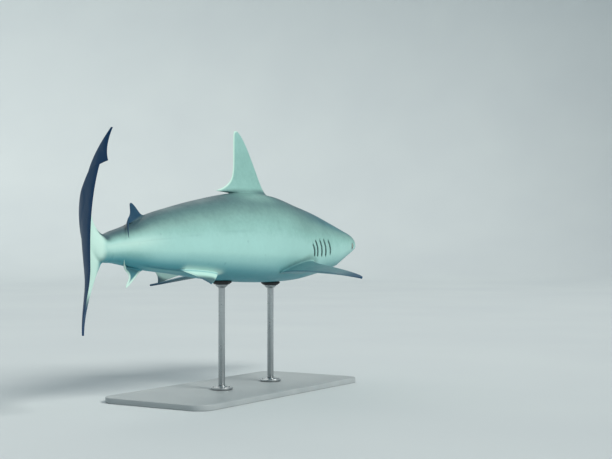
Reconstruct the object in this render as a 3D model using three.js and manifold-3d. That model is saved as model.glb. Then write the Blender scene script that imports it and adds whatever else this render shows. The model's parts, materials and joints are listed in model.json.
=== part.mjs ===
// A grey reef shark, life size, as a still museum model on a plain display stand.
//
// The animal is laid out straight and then bent. In the straight layout a point has three numbers:
// how far behind the snout it lies, how far to the shark's left, and how high above the body axis.
// All three are shares of the shark's total length, the way fish are measured.
// pose() carries such a point to the row frame: millimetres, +X the way the trunk heads,
// +Y the shark's left, +Z up, with the origin under the stand's base.

import * as THREE from "three";
import { mergeVertices } from "three/addons/utils/BufferGeometryUtils.js";
import Module from "manifold-3d";

const wasm = await Module();
wasm.setup();

// ---- Driving dimensions ------------------------------------------------------------------------

const TOTAL_LENGTH = 1600; // mm, snout to the tip of the upper tail lobe, with the body straight
const AXIS_HEIGHT = 400; // mm, body axis above the floor
const GAP = 0.3; // mm, between neighbouring pieces

// Turns of the body, in degrees. A positive turn swings what lies behind it to the shark's right.
const TURNS = {
  lean: { degrees: -4, from: 0.4, to: 0.64 },
  tailBeat: { degrees: 66, from: 0.672, to: 0.871 },
  tailTip: { degrees: 7, from: 0.84, to: 1.04 },
};
// Both lobes of the tail fin lag behind its middle, to the shark's left. The two shares of each
// lobe's height above or below the fork are a plain one and a squared one.
const TAIL_LAG = { from: 0.74, over: 0.06, middle: -0.05, soft: 0.03, upper: [0.124, -0.242], lower: [0.238, -1.49] };
const STILL_POINT = 0.385; // this cross-section stands over the origin

// Body outline: distance behind the snout, back, belly, half width, and level of the widest point.
const BODY = {
  snout: [0, 0.001, 0.001, 0, 0.001],
  muzzle: [0.012, 0.0165, -0.0075, 0.0185, 0.0015],
  nostril: [0.035, 0.0268, -0.0125, 0.034, 0.002],
  eye: [0.076, 0.0368, -0.027, 0.048, 0.003],
  jaw: [0.12, 0.05, -0.045, 0.0545, 0.001],
  firstGill: [0.176, 0.066, -0.054, 0.0585, -0.001],
  pectoral: [0.232, 0.078, -0.0605, 0.063, -0.001],
  dorsal: [0.308, 0.093, -0.0622, 0.0665, 0.003],
  waist: [0.4, 0.0942, -0.0592, 0.0665, 0.006],
  pelvic: [0.49, 0.082, -0.0515, 0.0585, 0.008],
  vent: [0.57, 0.0668, -0.0415, 0.046, 0.008],
  secondDorsal: [0.635, 0.051, -0.0345, 0.0345, 0.007],
  anal: [0.672, 0.0365, -0.028, 0.0268, 0.005],
  stem: [0.705, 0.0275, -0.0225, 0.0205, 0.003],
  pit: [0.738, 0.0205, -0.0205, 0.0155, 0.0015],
  coreRoot: [0.756, 0.0285, -0.0155, 0.0122, 0.005],
  core: [0.768, 0.041, -0.0085, 0.0098, 0.014],
  coreLobe: [0.8, 0.0725, 0.022, 0.0044, 0.046],
  coreEnd: [0.84, 0.0975, 0.064, 0.0022, 0.081],
};
const BELLY_SQUARENESS = 2.35; // 2 is an ellipse; the belly is a little flatter
const BACK_SQUARENESS = 2.05;

// Where the body is parted into nodes.
const BODY_CUTS = { head: [0, 0.243], trunk: [0.243, 0.575], tail: [0.575, 0.68], peduncle: [0.68, 0.84] };

const EYE = { at: 0.063, level: 0.0025, radius: 0.0088, standsOut: 0.0011 };
// The five slits, from the first: where they are, and the levels of their ends.
const GILLS = {
  at: [0.1725, 0.1908, 0.2071, 0.224, 0.2359],
  top: [0.0145, 0.016, 0.0155, 0.014, 0.0085],
  bottom: [-0.016, -0.0195, -0.0195, -0.019, -0.018],
  bow: 0.0035,
  lean: 0.0095,
  width: 3,
  depth: 9,
};
const MOUTH = { front: 0.071, corner: 0.118, halfWidth: 0.041, slit: 2.4, depth: 16 };
const NOSTRIL = { at: 0.042, out: 0.0265, length: 15, width: 3, depth: 7, turn: -35 };

const STAND = {
  length: 780,
  width: 340,
  thickness: 15,
  corner: 45,
  edge: 2.5,
  rodRadius: 9,
  flangeRadius: 30,
  flangeHeight: 9,
  padRadius: 27,
  padDrop: 9, // how far the pad hangs below the belly
  padWrap: 12, // and how far it reaches up round it
  rodsAt: { front: 0.285, rear: 0.435 },
};

// Mesh fineness.
const BODY_SIDES = 24;
const FIN_SIDES = 12;

const COLOURS = { back: 0x6f8587, pale: 0xb4d2cb, dusky: 0x49606d, eye: 0x11161a, steel: 0xb9bcbe, base: 0x9aa0a3, pad: 0x2b2e31 };

// ---- Small helpers -----------------------------------------------------------------------------

const clamp01 = (x) => Math.min(1, Math.max(0, x));
const mix = (a, b, t) => a + (b - a) * t;

// 0 before 0, 1 after 1, and level at both ends.
function ease(t) {
  const x = clamp01(t);
  return x * x * (3 - 2 * x);
}

// A smooth curve through [at, value] knots. It runs over the root of the distance, so that a
// profile that starts at nothing opens like a rounded snout.
function rootSpline(knots) {
  const r = knots.map(([at]) => Math.sqrt(at));
  const v = knots.map(([, value]) => value);
  const secant = (i) => (v[i + 1] - v[i]) / (r[i + 1] - r[i]);
  const last = knots.length - 1;
  const slope = v.map((_, i) => {
    if (i === 0) return secant(0);
    if (i === last) return secant(last - 1);
    return (secant(i - 1) + secant(i)) / 2;
  });
  return (at) => {
    const x = Math.sqrt(Math.max(0, at));
    let i = 0;
    while (i < last - 1 && x > r[i + 1]) i += 1;
    const w = r[i + 1] - r[i];
    const t = (x - r[i]) / w;
    return (
      v[i] * (2 * t ** 3 - 3 * t ** 2 + 1) +
      slope[i] * w * (t ** 3 - 2 * t ** 2 + t) +
      v[i + 1] * (3 * t ** 2 - 2 * t ** 3) +
      slope[i + 1] * w * (t ** 3 - t ** 2)
    );
  };
}

const column = (k) => rootSpline(Object.values(BODY).map((row) => [row[0], row[k]]));
const backAt = column(1);
const bellyAt = column(2);
const halfWidthAt = column(3);
const widestAt = column(4);

// ---- The bend ----------------------------------------------------------------------------------

// Which way the body runs, as an angle from -X, at a distance behind the snout.
function heading(at) {
  const turned = Object.values(TURNS).map(({ degrees, from, to }) => degrees * ease((at - from) / (to - from)));
  return THREE.MathUtils.degToRad(turned.reduce((sum, degrees) => sum + degrees));
}

const SPINE_STEPS = 1000;
const spine = [new THREE.Vector2(0, 0)];
for (let i = 1; i <= SPINE_STEPS; i += 1) {
  const angle = heading((i - 0.5) / SPINE_STEPS);
  const step = new THREE.Vector2(-Math.cos(angle), -Math.sin(angle)).divideScalar(SPINE_STEPS);
  spine.push(spine[i - 1].clone().add(step));
}

function spinePoint(at) {
  const x = clamp01(at) * SPINE_STEPS;
  const i = Math.min(SPINE_STEPS - 1, Math.floor(x));
  return spine[i].clone().lerp(spine[i + 1], x - i);
}

const still = spinePoint(STILL_POINT);

// How far to the left the tail fin's lobes lag. The two lobes meet in a soft valley.
function tailLag(at, level) {
  const d = level - TAIL_LAG.middle;
  const soft = Math.hypot(d, TAIL_LAG.soft);
  const above = (soft + d) / 2;
  const below = (soft - d) / 2;
  const lag = TAIL_LAG.upper[0] * above + TAIL_LAG.upper[1] * above ** 2;
  const lowerLag = TAIL_LAG.lower[0] * below + TAIL_LAG.lower[1] * below ** 2;
  return ease((at - TAIL_LAG.from) / TAIL_LAG.over) * (lag + lowerLag);
}

// A point of the straight layout, in the row frame.
function pose(p) {
  const centre = spinePoint(p.x).sub(still);
  const angle = heading(p.x);
  const aside = p.y + tailLag(p.x, p.z);
  return new THREE.Vector3(
    (centre.x - Math.sin(angle) * aside) * TOTAL_LENGTH,
    (centre.y + Math.cos(angle) * aside) * TOTAL_LENGTH,
    p.z * TOTAL_LENGTH + AXIS_HEIGHT,
  );
}

// ---- From geometry to solid and back -----------------------------------------------------------

function solid(geometry) {
  const bare = geometry.clone();
  bare.deleteAttribute("normal");
  bare.deleteAttribute("uv");
  const merged = mergeVertices(bare, 1e-4);
  const made = new wasm.Manifold(
    new wasm.Mesh({
      numProp: 3,
      vertProperties: merged.attributes.position.array,
      triVerts: new Uint32Array(merged.index.array),
    }),
  );
  if (made.volume() > 0) return made;
  const turned = merged.index.array;
  for (let i = 0; i < turned.length; i += 3) [turned[i + 1], turned[i + 2]] = [turned[i + 2], turned[i + 1]];
  return new wasm.Manifold(
    new wasm.Mesh({
      numProp: 3,
      vertProperties: merged.attributes.position.array,
      triVerts: new Uint32Array(turned),
    }),
  );
}

function geometryOf(made) {
  const mesh = made.getMesh();
  const positions = new Float32Array(mesh.numVert * 3);
  for (let i = 0; i < mesh.numVert; i += 1) {
    positions.set(mesh.vertProperties.subarray(i * mesh.numProp, i * mesh.numProp + 3), i * 3);
  }
  const geometry = new THREE.BufferGeometry();
  geometry.setAttribute("position", new THREE.BufferAttribute(positions, 3));
  geometry.setIndex(new THREE.BufferAttribute(mesh.triVerts, 1));
  geometry.computeVertexNormals();
  return geometry;
}

// The largest piece, which drops the crumbs that a cut may leave.
function largest(made) {
  return made.decompose().reduce((best, piece) => (piece.volume() > best.volume() ? piece : best));
}

// The same piece with edges too short to make closed up.
const SHORTEST_EDGE = 0.05; // mm
function tidied(made) {
  const { numProp, vertProperties, triVerts } = made.getMesh();
  return new wasm.Manifold(new wasm.Mesh({ numProp, vertProperties, triVerts, tolerance: SHORTEST_EDGE })).simplify();
}

// A closed skin: a cylinder whose rows and columns are carried to place(row, angle), both ends capped.
function loft(rows, sides, place) {
  const geometry = new THREE.CylinderGeometry(1, 1, 1, sides, rows.length - 1);
  const position = geometry.attributes.position;
  for (let i = 0; i < position.count; i += 1) {
    const v = new THREE.Vector3().fromBufferAttribute(position, i);
    const row = rows[Math.round((0.5 - v.y) * (rows.length - 1))];
    const onAxis = Math.hypot(v.x, v.z) < 0.5;
    const angle = Math.round((Math.atan2(v.z, v.x) / (2 * Math.PI)) * sides) * ((2 * Math.PI) / sides);
    const p = onAxis ? middle(row, sides, place) : place(row, angle);
    position.setXYZ(i, ...pose(p).toArray());
  }
  return geometry;
}

// The centre of an end cap.
function middle(row, sides, place) {
  const sum = new THREE.Vector3();
  for (let k = 0; k < sides; k += 1) sum.add(place(row, (k * 2 * Math.PI) / sides));
  return sum.divideScalar(sides);
}

// ---- Body --------------------------------------------------------------------------------------

// The body's surface at a distance behind the snout, at an angle from the shark's left side.
function bodyPoint(at, angle, grow = 0) {
  const up = Math.sin(angle) >= 0;
  const power = 2 / (up ? BACK_SQUARENESS : BELLY_SQUARENESS);
  const widest = widestAt(at);
  const reach = (up ? backAt(at) - widest : widest - bellyAt(at)) + grow;
  return new THREE.Vector3(
    at,
    (halfWidthAt(at) + grow) * Math.sign(Math.cos(angle)) * Math.abs(Math.cos(angle)) ** power,
    widest + reach * Math.sign(Math.sin(angle)) * Math.abs(Math.sin(angle)) ** power,
  );
}

const SNOUT_STEPS = 8;
const BODY_STEP = 0.021;

// Rows from one cut to the next, close together at the snout, where the outline turns fast.
function bodyRows(from, to) {
  const rows = [];
  if (from === 0) {
    const blunt = 0.0006;
    for (let i = 0; i < SNOUT_STEPS; i += 1) rows.push(blunt + 0.05 * (i / SNOUT_STEPS) ** 2);
  } else {
    rows.push(from);
  }
  const start = from === 0 ? 0.05 : from;
  const count = Math.ceil((to - start) / BODY_STEP);
  for (let i = from === 0 ? 0 : 1; i <= count; i += 1) rows.push(mix(start, to, i / count));
  return rows;
}

function bodySolid(rows, grow = 0) {
  return solid(loft(rows, BODY_SIDES, (at, angle) => bodyPoint(at, angle, grow)));
}

// The whole body, a hair larger all round, for cutting the clearance into the pieces that meet it.
const share = (mm) => mm / TOTAL_LENGTH;
const BODY_END = BODY.coreEnd[0];
const clearance = share(GAP * 2);
const everyRow = Object.values(BODY_CUTS).flatMap(([from, to], i) => bodyRows(from, to).slice(i === 0 ? 0 : 1));
const wholeBodyGrown = bodySolid([...everyRow, BODY_END + clearance], clearance);

// ---- Eyes, gills and mouth ---------------------------------------------------------------------

// The outward normal of the body's side in the straight layout.
function sideNormal(at, side) {
  const d = 0.002;
  const slope = (halfWidthAt(at + d) - halfWidthAt(at - d)) / (2 * d);
  return new THREE.Vector3(-slope, side, 0.12).normalize();
}

function eyeCentre(side) {
  const angle = Math.asin(clamp01((EYE.level - widestAt(EYE.at)) / (backAt(EYE.at) - widestAt(EYE.at))));
  const onSkin = bodyPoint(EYE.at, side > 0 ? angle : Math.PI - angle);
  return onSkin.addScaledVector(sideNormal(EYE.at, side), EYE.standsOut - EYE.radius);
}

function eyeGeometry(side, grow = 0) {
  const geometry = new THREE.SphereGeometry(EYE.radius * TOTAL_LENGTH + grow, 16, 12);
  const centre = pose(eyeCentre(side));
  return geometry.translate(centre.x, centre.y, centre.z);
}

// A thin curved blade that cuts one gill slit into the side of the head.
function gillCutter(index, side) {
  const at = GILLS.at[index];
  const blade = new THREE.BoxGeometry(1, 1, 1, 1, 1, 4);
  const position = blade.attributes.position;
  for (let i = 0; i < position.count; i += 1) {
    const v = new THREE.Vector3().fromBufferAttribute(position, i);
    const rise = v.z + 0.5;
    const ahead = GILLS.bow * Math.sin(Math.PI * rise) - GILLS.lean * (rise - 0.5);
    const outward = halfWidthAt(at) + share(v.y > 0 ? 4 : -GILLS.depth);
    const p = new THREE.Vector3(
      at - ahead + share(v.x * GILLS.width),
      side * outward,
      mix(GILLS.bottom[index], GILLS.top[index], rise),
    );
    position.setXYZ(i, ...pose(p).toArray());
  }
  return solid(blade);
}

// The mouth is a thin parabolic slit, cut up into the underside of the head.
function mouthCutter() {
  const blade = new THREE.BoxGeometry(1, 1, 1, 14, 1, 1);
  const position = blade.attributes.position;
  for (let i = 0; i < position.count; i += 1) {
    const v = new THREE.Vector3().fromBufferAttribute(position, i);
    const across = 2 * v.x;
    const at = mix(MOUTH.front, MOUTH.corner, across ** 2);
    const upTo = mix(bellyAt(MOUTH.front), -0.014, across ** 2);
    const p = new THREE.Vector3(
      at + share(v.y * MOUTH.slit),
      MOUTH.halfWidth * across * (1 - 0.12 * across ** 2),
      v.z > 0 ? upTo + share(4) : bellyAt(MOUTH.corner) - share(MOUTH.depth),
    );
    position.setXYZ(i, ...pose(p).toArray());
  }
  return solid(blade);
}

// A short slanting slot in the underside of the snout.
function nostrilCutter(side) {
  const slot = new THREE.BoxGeometry(NOSTRIL.width, NOSTRIL.length, NOSTRIL.depth * 2, 1, 3, 1);
  slot.rotateZ(THREE.MathUtils.degToRad(side * NOSTRIL.turn));
  const centre = pose(new THREE.Vector3(NOSTRIL.at, side * NOSTRIL.out, undersideAt(NOSTRIL.at, NOSTRIL.out)));
  return solid(slot.translate(centre.x, centre.y, centre.z));
}

// Level of the body's underside, some way out from the midline.
function undersideAt(at, out) {
  const share = (1 - (out / halfWidthAt(at)) ** BELLY_SQUARENESS) ** (1 / BELLY_SQUARENESS);
  return widestAt(at) - (widestAt(at) - bellyAt(at)) * share;
}

// ---- Fins --------------------------------------------------------------------------------------

// Half thickness across the chord, 1 at its fullest: blunt in front, fine behind.
const FULLEST = 2.6;
const wingSection = (chord) => FULLEST * Math.sqrt(chord) * (1 - chord);

// Leading edge: straight at first, then bent back to a rounded tip. Both run from 0 to 1.
function leadCurve(t, straightness, bend) {
  return straightness * t + (1 - straightness) * (1 - Math.sqrt(1 - Math.min(1, Math.max(0, t)) ** bend));
}

// Rows up a fin: under the skin, close together at the root and at the tip.
function finRows(steps, sunk) {
  const rows = [-sunk, 0, 0.012, 0.03, 0.055];
  for (let i = 1; i <= steps; i += 1) rows.push(mix(0.055, 0.93, i / steps));
  rows.push(0.965, 0.985, 0.996);
  return rows;
}

// A fin is a stack of wing sections. plan says, for a height t from 0 at the skin to 1 at the tip,
// where the leading and trailing edges are, which way the fin faces and how thick it is.
function finGeometry(rows, plan) {
  return loft(rows, FIN_SIDES, (t, angle) => {
    const chord = (1 - Math.cos(angle)) / 2;
    const { lead, trail, facing, halfThickness, flex } = plan(t);
    const p = lead.clone().lerp(trail, chord);
    p.addScaledVector(facing, halfThickness * wingSection(chord) * Math.sign(Math.round(Math.sin(angle) * 1e6)));
    return flex ? flex(p, chord, t) : p;
  });
}

const finSolid = (rows, plan) => tidied(largest(solid(finGeometry(rows, plan)).subtract(wholeBodyGrown)));

// A hair to one side, so that the edge of a midline fin doesn't run exactly along an edge of the body.
const OFF_MIDLINE = share(0.25);

// A fin on the midline. Its rows follow the back or the belly, and its free rear tip, the lobe,
// trails behind the end of the base.
function midlineFin(fin) {
  const floorAt = fin.up > 0 ? backAt : bellyAt;
  const rootSlope = (floorAt(fin.at + fin.base) - floorAt(fin.at)) / fin.base;
  const level = (at) => floorAt(fin.at) + rootSlope * (at - fin.at);
  return (t) => {
    const up = Math.max(0, t);
    const rise = fin.up * t * fin.height;
    const fairing = fin.fairing * Math.exp(-up / 0.07);
    const leadAt = fin.at + fin.sweep * leadCurve(t, fin.straightness, 6) - fairing;
    const tipRound = fin.tipChord * Math.sqrt(Math.max(0, 1 - up ** 30));
    const free = fin.lobe * (1 - up) ** fin.lobePower * ease(up / 0.035);
    const base = (fin.base - fin.sweep - fin.tipChord) * (1 - up) ** fin.lobePower;
    const hollow = fin.hollow * Math.sin(Math.PI * Math.min(1, up) ** 0.6);
    const trailAt = fin.at + fin.sweep + tipRound + Math.max(0, base) + free - hollow;
    return {
      lead: new THREE.Vector3(leadAt, OFF_MIDLINE, level(leadAt) + rise),
      trail: new THREE.Vector3(trailAt, OFF_MIDLINE, level(trailAt) + rise),
      facing: new THREE.Vector3(0, 1, 0),
      halfThickness: fin.thickness * (1 - 0.8 * up) + fin.flare * Math.exp(-up / 0.06),
      flex: fin.flex,
    };
  };
}

const FIRST_DORSAL = {
  at: 0.308, base: 0.103, height: 0.1085, sweep: 0.087, tipChord: 0.0065, straightness: 0.8,
  lobe: 0.06, lobePower: 9, hollow: 0, thickness: 0.0062, fairing: 0.008, flare: 0.003, up: 1,
};

// The rear tips of the small fins lag behind the tail beat, so they fold to the right. lift is how
// they set off at the root, and curl how they end.
const lag = (from, length, aside, lift, curl) => (p) => {
  const d = Math.max(0, (p.x - from) / length);
  return new THREE.Vector3(p.x, p.y - aside * d ** 1.15, p.z + lift * d + curl * d ** 2);
};

const SECOND_DORSAL = {
  at: 0.638, base: 0.032, height: 0.031, sweep: 0.0255, tipChord: 0.0025, straightness: 0.88,
  lobe: 0.038, lobePower: 6, hollow: 0.002, thickness: 0.0028, fairing: 0.007, flare: 0.0015, up: 1,
  flex: lag(0.668, 0.032, 0.03, 0.024, -0.0375),
};

const ANAL = {
  at: 0.64, base: 0.03, height: 0.033, sweep: 0.0335, tipChord: 0.003, straightness: 0.88,
  lobe: 0.036, lobePower: 5, hollow: 0.012, thickness: 0.0028, fairing: 0.005, flare: 0.0015, up: -1,
  flex: lag(0.672, 0.03, 0.022, -0.0136, 0.0212),
};

// A fin of a pair. side is 1 on the shark's left and -1 on its right.
function pairedFin(fin, side) {
  const tip = { y: fin.tipOut, z: side > 0 ? fin.tipLevel.left : fin.tipLevel.right };
  return (t) => {
    const up = Math.max(0, t);
    const out = mix(fin.rootOut, tip.y, t);
    const droop = fin.rootLevel + (tip.z - fin.rootLevel) * mix(t, t * Math.abs(t), 0.35);
    const leadAt = fin.at + fin.sweep * leadCurve(t, fin.straightness, fin.bend) - fin.fairing * Math.exp(-up / 0.06);
    const inner = ease(up / 0.05);
    const hollow = fin.hollow * Math.sin(Math.PI * Math.min(1, up * 1.02));
    const rear = mix(fin.base + fin.lobe * inner, fin.sweep, up ** fin.rearPower) - hollow;
    const trailAt = fin.at + Math.max(rear, fin.sweep * leadCurve(t, fin.straightness, fin.bend));
    const tilt = fin.tilt * (1 - 0.6 * up) + fin.rootTilt * Math.exp(-up / 0.12);
    return {
      lead: new THREE.Vector3(leadAt, side * out, droop + fin.shoulder * Math.exp(-up / 0.1)),
      trail: new THREE.Vector3(trailAt, side * (out - fin.tuck * (trailAt - leadAt)), droop - tilt * (trailAt - leadAt)),
      facing: new THREE.Vector3(tilt, side * fin.cant, 1).normalize(),
      halfThickness: fin.thickness * (1 - 0.82 * up) + fin.flare * Math.exp(-up / 0.07),
    };
  };
}

const PECTORAL = {
  at: 0.232, base: 0.062, rootOut: 0.056, rootLevel: -0.033, tipOut: 0.2255, tipLevel: { left: -0.071, right: -0.05 },
  sweep: 0.12, straightness: 0.74, bend: 4, lobe: 0.043, rearPower: 2.2, hollow: 0.011, tilt: 0.065,
  rootTilt: 0.07, shoulder: 0.004, tuck: 0.12, cant: 0.16, thickness: 0.0085, flare: 0.004, fairing: 0.006,
};

const PELVIC = {
  at: 0.484, base: 0.052, rootOut: 0.031, rootLevel: -0.0405, tipOut: 0.0563, tipLevel: { left: -0.0575, right: -0.0575 },
  sweep: 0.0535, straightness: 0.85, bend: 5, lobe: 0.053, rearPower: 0.8, hollow: 0.003, tilt: -0.07,
  rootTilt: 0, shoulder: 0, tuck: 0.04, cant: 0.45, thickness: 0.0042, flare: 0.002, fairing: 0.004,
};

// ---- Tail fin ----------------------------------------------------------------------------------

const inTail = (at, level) => new THREE.Vector3(at, 0, level);
const TAIL = {
  lowerTipFront: inTail(0.788, -0.1278),
  lowerTipBack: inTail(0.7945, -0.1272),
  lowerRoot: inTail(0.728, -0.018),
  upperRoot: inTail(0.7207, 0.0185),
  upperRise: inTail(0.7619, 0.0555),
  upperShoulder: inTail(0.787, 0.0715),
  upperMiddle: inTail(0.8565, 0.1085),
  upperTipFront: inTail(0.946, 0.1663),
  upperTipBack: inTail(0.948, 0.1658),
  fork: inTail(0.8405, -0.03),
  notch: inTail(0.9072, 0.125),
  lobeCorner: inTail(0.93, 0.1208),
};

// Each edge runs from the lower tip to the upper one as a chain of arcs. until is the share of the
// whole way at which an arc ends, so that the two edges keep step.
const arc = (until, from, pull, to) => ({ until, curve: new THREE.QuadraticBezierCurve3(from, pull, to) });
const TAIL_LEAD = [
  arc(0.4, TAIL.lowerTipFront, inTail(0.7757, -0.0648), TAIL.lowerRoot),
  arc(0.52, TAIL.lowerRoot, inTail(0.712, 0), TAIL.upperRoot),
  arc(0.6, TAIL.upperRoot, inTail(0.759, 0.0269), TAIL.upperRise),
  arc(0.69, TAIL.upperRise, inTail(0.763, 0.0635), TAIL.upperShoulder),
  arc(0.86, TAIL.upperShoulder, inTail(0.8235, 0.085), TAIL.upperMiddle),
  arc(1, TAIL.upperMiddle, inTail(0.879, 0.133), TAIL.upperTipFront),
];
const TAIL_TRAIL = [
  arc(0.4, TAIL.lowerTipBack, inTail(0.828, -0.078), TAIL.fork),
  arc(0.845, TAIL.fork, inTail(0.8532, 0.0646), TAIL.notch),
  arc(0.875, TAIL.notch, inTail(0.919, 0.122), TAIL.lobeCorner),
  arc(1, TAIL.lobeCorner, inTail(0.919, 0.139), TAIL.upperTipBack),
];

function alongEdge(edge, share) {
  const index = Math.max(0, edge.findIndex(({ until }) => share <= until));
  const from = index === 0 ? 0 : edge[index - 1].until;
  return edge[index].curve.getPoint((share - from) / (edge[index].until - from));
}

const TAIL_THICKNESS = 0.0042;

function tailPlan(u) {
  const nearRoot = Math.exp(-(((u - 0.47) / 0.13) ** 2));
  return {
    lead: alongEdge(TAIL_LEAD, u),
    trail: alongEdge(TAIL_TRAIL, u),
    facing: new THREE.Vector3(0, 1, 0),
    halfThickness: TAIL_THICKNESS * (0.26 + 0.74 * nearRoot),
  };
}

// The lobes are parted at the fork.
const TAIL_PART = 0.4;
const evenly = (from, to, steps) => Array.from({ length: steps + 1 }, (_, i) => mix(from, to, i / steps));
const lowerLobeRows = () => [0.006, 0.02, 0.04, ...evenly(0.08, TAIL_PART - 0.0012, 8)];
const upperLobeRows = () => [
  ...evenly(TAIL_PART + 0.0012, 0.8, 13),
  0.825, 0.845, 0.86, 0.875, 0.89, 0.915, 0.94, 0.965, 0.985, 0.996,
];

// ---- Stand -------------------------------------------------------------------------------------

function standBase() {
  const { length, width, thickness, corner, edge } = STAND;
  const x = length / 2 - edge;
  const y = width / 2 - edge;
  const outline = new THREE.Shape();
  outline.moveTo(-x + corner, -y);
  outline.lineTo(x - corner, -y);
  outline.absarc(x - corner, -y + corner, corner, -Math.PI / 2, 0);
  outline.absarc(x - corner, y - corner, corner, 0, Math.PI / 2);
  outline.absarc(-x + corner, y - corner, corner, Math.PI / 2, Math.PI);
  outline.absarc(-x + corner, -y + corner, corner, Math.PI, 1.5 * Math.PI);
  const plate = new THREE.ExtrudeGeometry(outline, {
    depth: thickness - 2 * edge,
    bevelThickness: edge,
    bevelSize: edge,
    bevelSegments: 1,
    curveSegments: 7,
  });
  return plate.translate(0, 0, edge);
}

// An upright round bar from one height to another.
function bar(x, y, low, high, radius, sides = 24) {
  const geometry = new THREE.CylinderGeometry(radius, radius, high - low, sides);
  return geometry.rotateX(Math.PI / 2).translate(x, y, (low + high) / 2);
}

function standRod(at) {
  const foot = pose(new THREE.Vector3(at, 0, 0));
  const belly = pose(new THREE.Vector3(at, 0, bellyAt(at))).z;
  const padBottom = belly - STAND.padDrop;
  const flangeTop = STAND.thickness + GAP + STAND.flangeHeight;
  const pad = solid(bar(foot.x, foot.y, padBottom, belly + STAND.padWrap, STAND.padRadius));
  return {
    flange: bar(foot.x, foot.y, STAND.thickness + GAP, flangeTop, STAND.flangeRadius, 32),
    rod: bar(foot.x, foot.y, flangeTop + GAP, padBottom - GAP, STAND.rodRadius),
    pad: geometryOf(largest(pad.subtract(wholeBodyGrown))),
  };
}

// ---- The model ---------------------------------------------------------------------------------

const model = new THREE.Group();

function addPiece(name, geometry, colour, roughness = 0.5, metalness = 0) {
  const material = new THREE.MeshStandardMaterial({ color: colour, roughness, metalness });
  const mesh = new THREE.Mesh(geometry, material);
  mesh.name = name;
  model.add(mesh);
}

const SIDES = { left: 1, right: -1 };

// Each length of the body, a hair short of the next one.
for (const [name, [from, to]] of Object.entries(BODY_CUTS)) {
  const rows = bodyRows(from, to);
  if (to !== BODY_END) rows[rows.length - 1] -= share(GAP);
  let length = bodySolid(rows);
  if (name === "head") {
    for (const side of Object.values(SIDES)) {
      length = length.subtract(solid(eyeGeometry(side, GAP))).subtract(nostrilCutter(side));
      for (let i = 0; i < GILLS.at.length; i += 1) length = length.subtract(gillCutter(i, side));
    }
    length = length.subtract(mouthCutter());
  }
  addPiece(name, geometryOf(tidied(largest(length))), COLOURS.back);
}

addPiece("first_dorsal_fin", geometryOf(finSolid(finRows(8, 0.1), midlineFin(FIRST_DORSAL))), COLOURS.pale);
addPiece("second_dorsal_fin", geometryOf(finSolid(finRows(5, 0.2), midlineFin(SECOND_DORSAL))), COLOURS.dusky);
addPiece("anal_fin", geometryOf(finSolid(finRows(5, 0.23), midlineFin(ANAL))), COLOURS.pale);

for (const [word, side] of Object.entries(SIDES)) {
  addPiece("pectoral_fin_" + word, geometryOf(finSolid(finRows(8, 0.1), pairedFin(PECTORAL, side))), COLOURS.dusky);
  addPiece("pelvic_fin_" + word, geometryOf(finSolid(finRows(5, 0.25), pairedFin(PELVIC, side))), COLOURS.pale);
  addPiece("eye_" + word, eyeGeometry(side), COLOURS.eye, 0.1);
}

addPiece("caudal_fin_lower_lobe", geometryOf(finSolid(lowerLobeRows(), tailPlan)), COLOURS.dusky);
addPiece("caudal_fin_upper_lobe", geometryOf(finSolid(upperLobeRows(), tailPlan)), COLOURS.dusky);

addPiece("stand_base", standBase(), COLOURS.base, 0.45);
for (const [word, at] of Object.entries(STAND.rodsAt)) {
  const { flange, rod, pad } = standRod(at);
  addPiece("stand_flange_" + word, flange, COLOURS.steel, 0.3, 1);
  addPiece("stand_rod_" + word, rod, COLOURS.steel, 0.3, 1);
  addPiece("stand_pad_" + word, pad, COLOURS.pad, 0.8);
}

export default model;
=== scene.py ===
# %% [markdown]
# # A grey reef shark, as a museum shows it
# The animal is modelled life size, 1.6 m from snout to tail tip, swimming, with the tail swept far
# to its right in mid-beat. A real museum skin is one cast shell without a seam, so the whole body and
# all its fins become one mesh here. It is laid out straight first, because a straight fish can be
# measured and joined easily, and the finished skin is bent into its pose at the very end.
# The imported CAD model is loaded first. It fixes where everything goes.

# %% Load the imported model
import json
import math

import bmesh
import bpy
import numpy as np
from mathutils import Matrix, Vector
from mathutils.kdtree import KDTree

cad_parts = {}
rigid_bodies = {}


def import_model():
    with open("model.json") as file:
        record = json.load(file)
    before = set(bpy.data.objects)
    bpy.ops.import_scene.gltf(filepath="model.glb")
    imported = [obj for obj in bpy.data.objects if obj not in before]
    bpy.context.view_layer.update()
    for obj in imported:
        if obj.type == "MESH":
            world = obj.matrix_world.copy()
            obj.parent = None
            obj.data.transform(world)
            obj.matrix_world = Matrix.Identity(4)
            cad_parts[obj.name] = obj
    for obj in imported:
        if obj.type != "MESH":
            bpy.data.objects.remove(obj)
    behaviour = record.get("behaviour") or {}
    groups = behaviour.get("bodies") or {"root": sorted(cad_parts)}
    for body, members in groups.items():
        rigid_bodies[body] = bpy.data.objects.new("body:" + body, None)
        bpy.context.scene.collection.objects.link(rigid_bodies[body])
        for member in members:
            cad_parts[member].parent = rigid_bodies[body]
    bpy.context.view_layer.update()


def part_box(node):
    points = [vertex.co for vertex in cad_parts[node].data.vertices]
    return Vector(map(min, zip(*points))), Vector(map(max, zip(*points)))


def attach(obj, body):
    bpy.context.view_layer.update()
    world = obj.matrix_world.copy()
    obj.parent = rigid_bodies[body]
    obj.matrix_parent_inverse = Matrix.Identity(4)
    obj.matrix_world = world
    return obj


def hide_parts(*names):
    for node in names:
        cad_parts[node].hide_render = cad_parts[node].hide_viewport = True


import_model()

# %% [markdown]
# ## The outline of the body
# In the straight layout a point has three numbers: how far behind the snout it lies, how far to
# the shark's left, and how high above the body axis. All are shares of the total length, the way
# fish are measured. A few stations give the back, the belly, the half width and the level of the
# widest point, and a smooth curve runs through them. It runs over the square root of the distance,
# so that the snout opens round and not like a cone.

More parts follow.
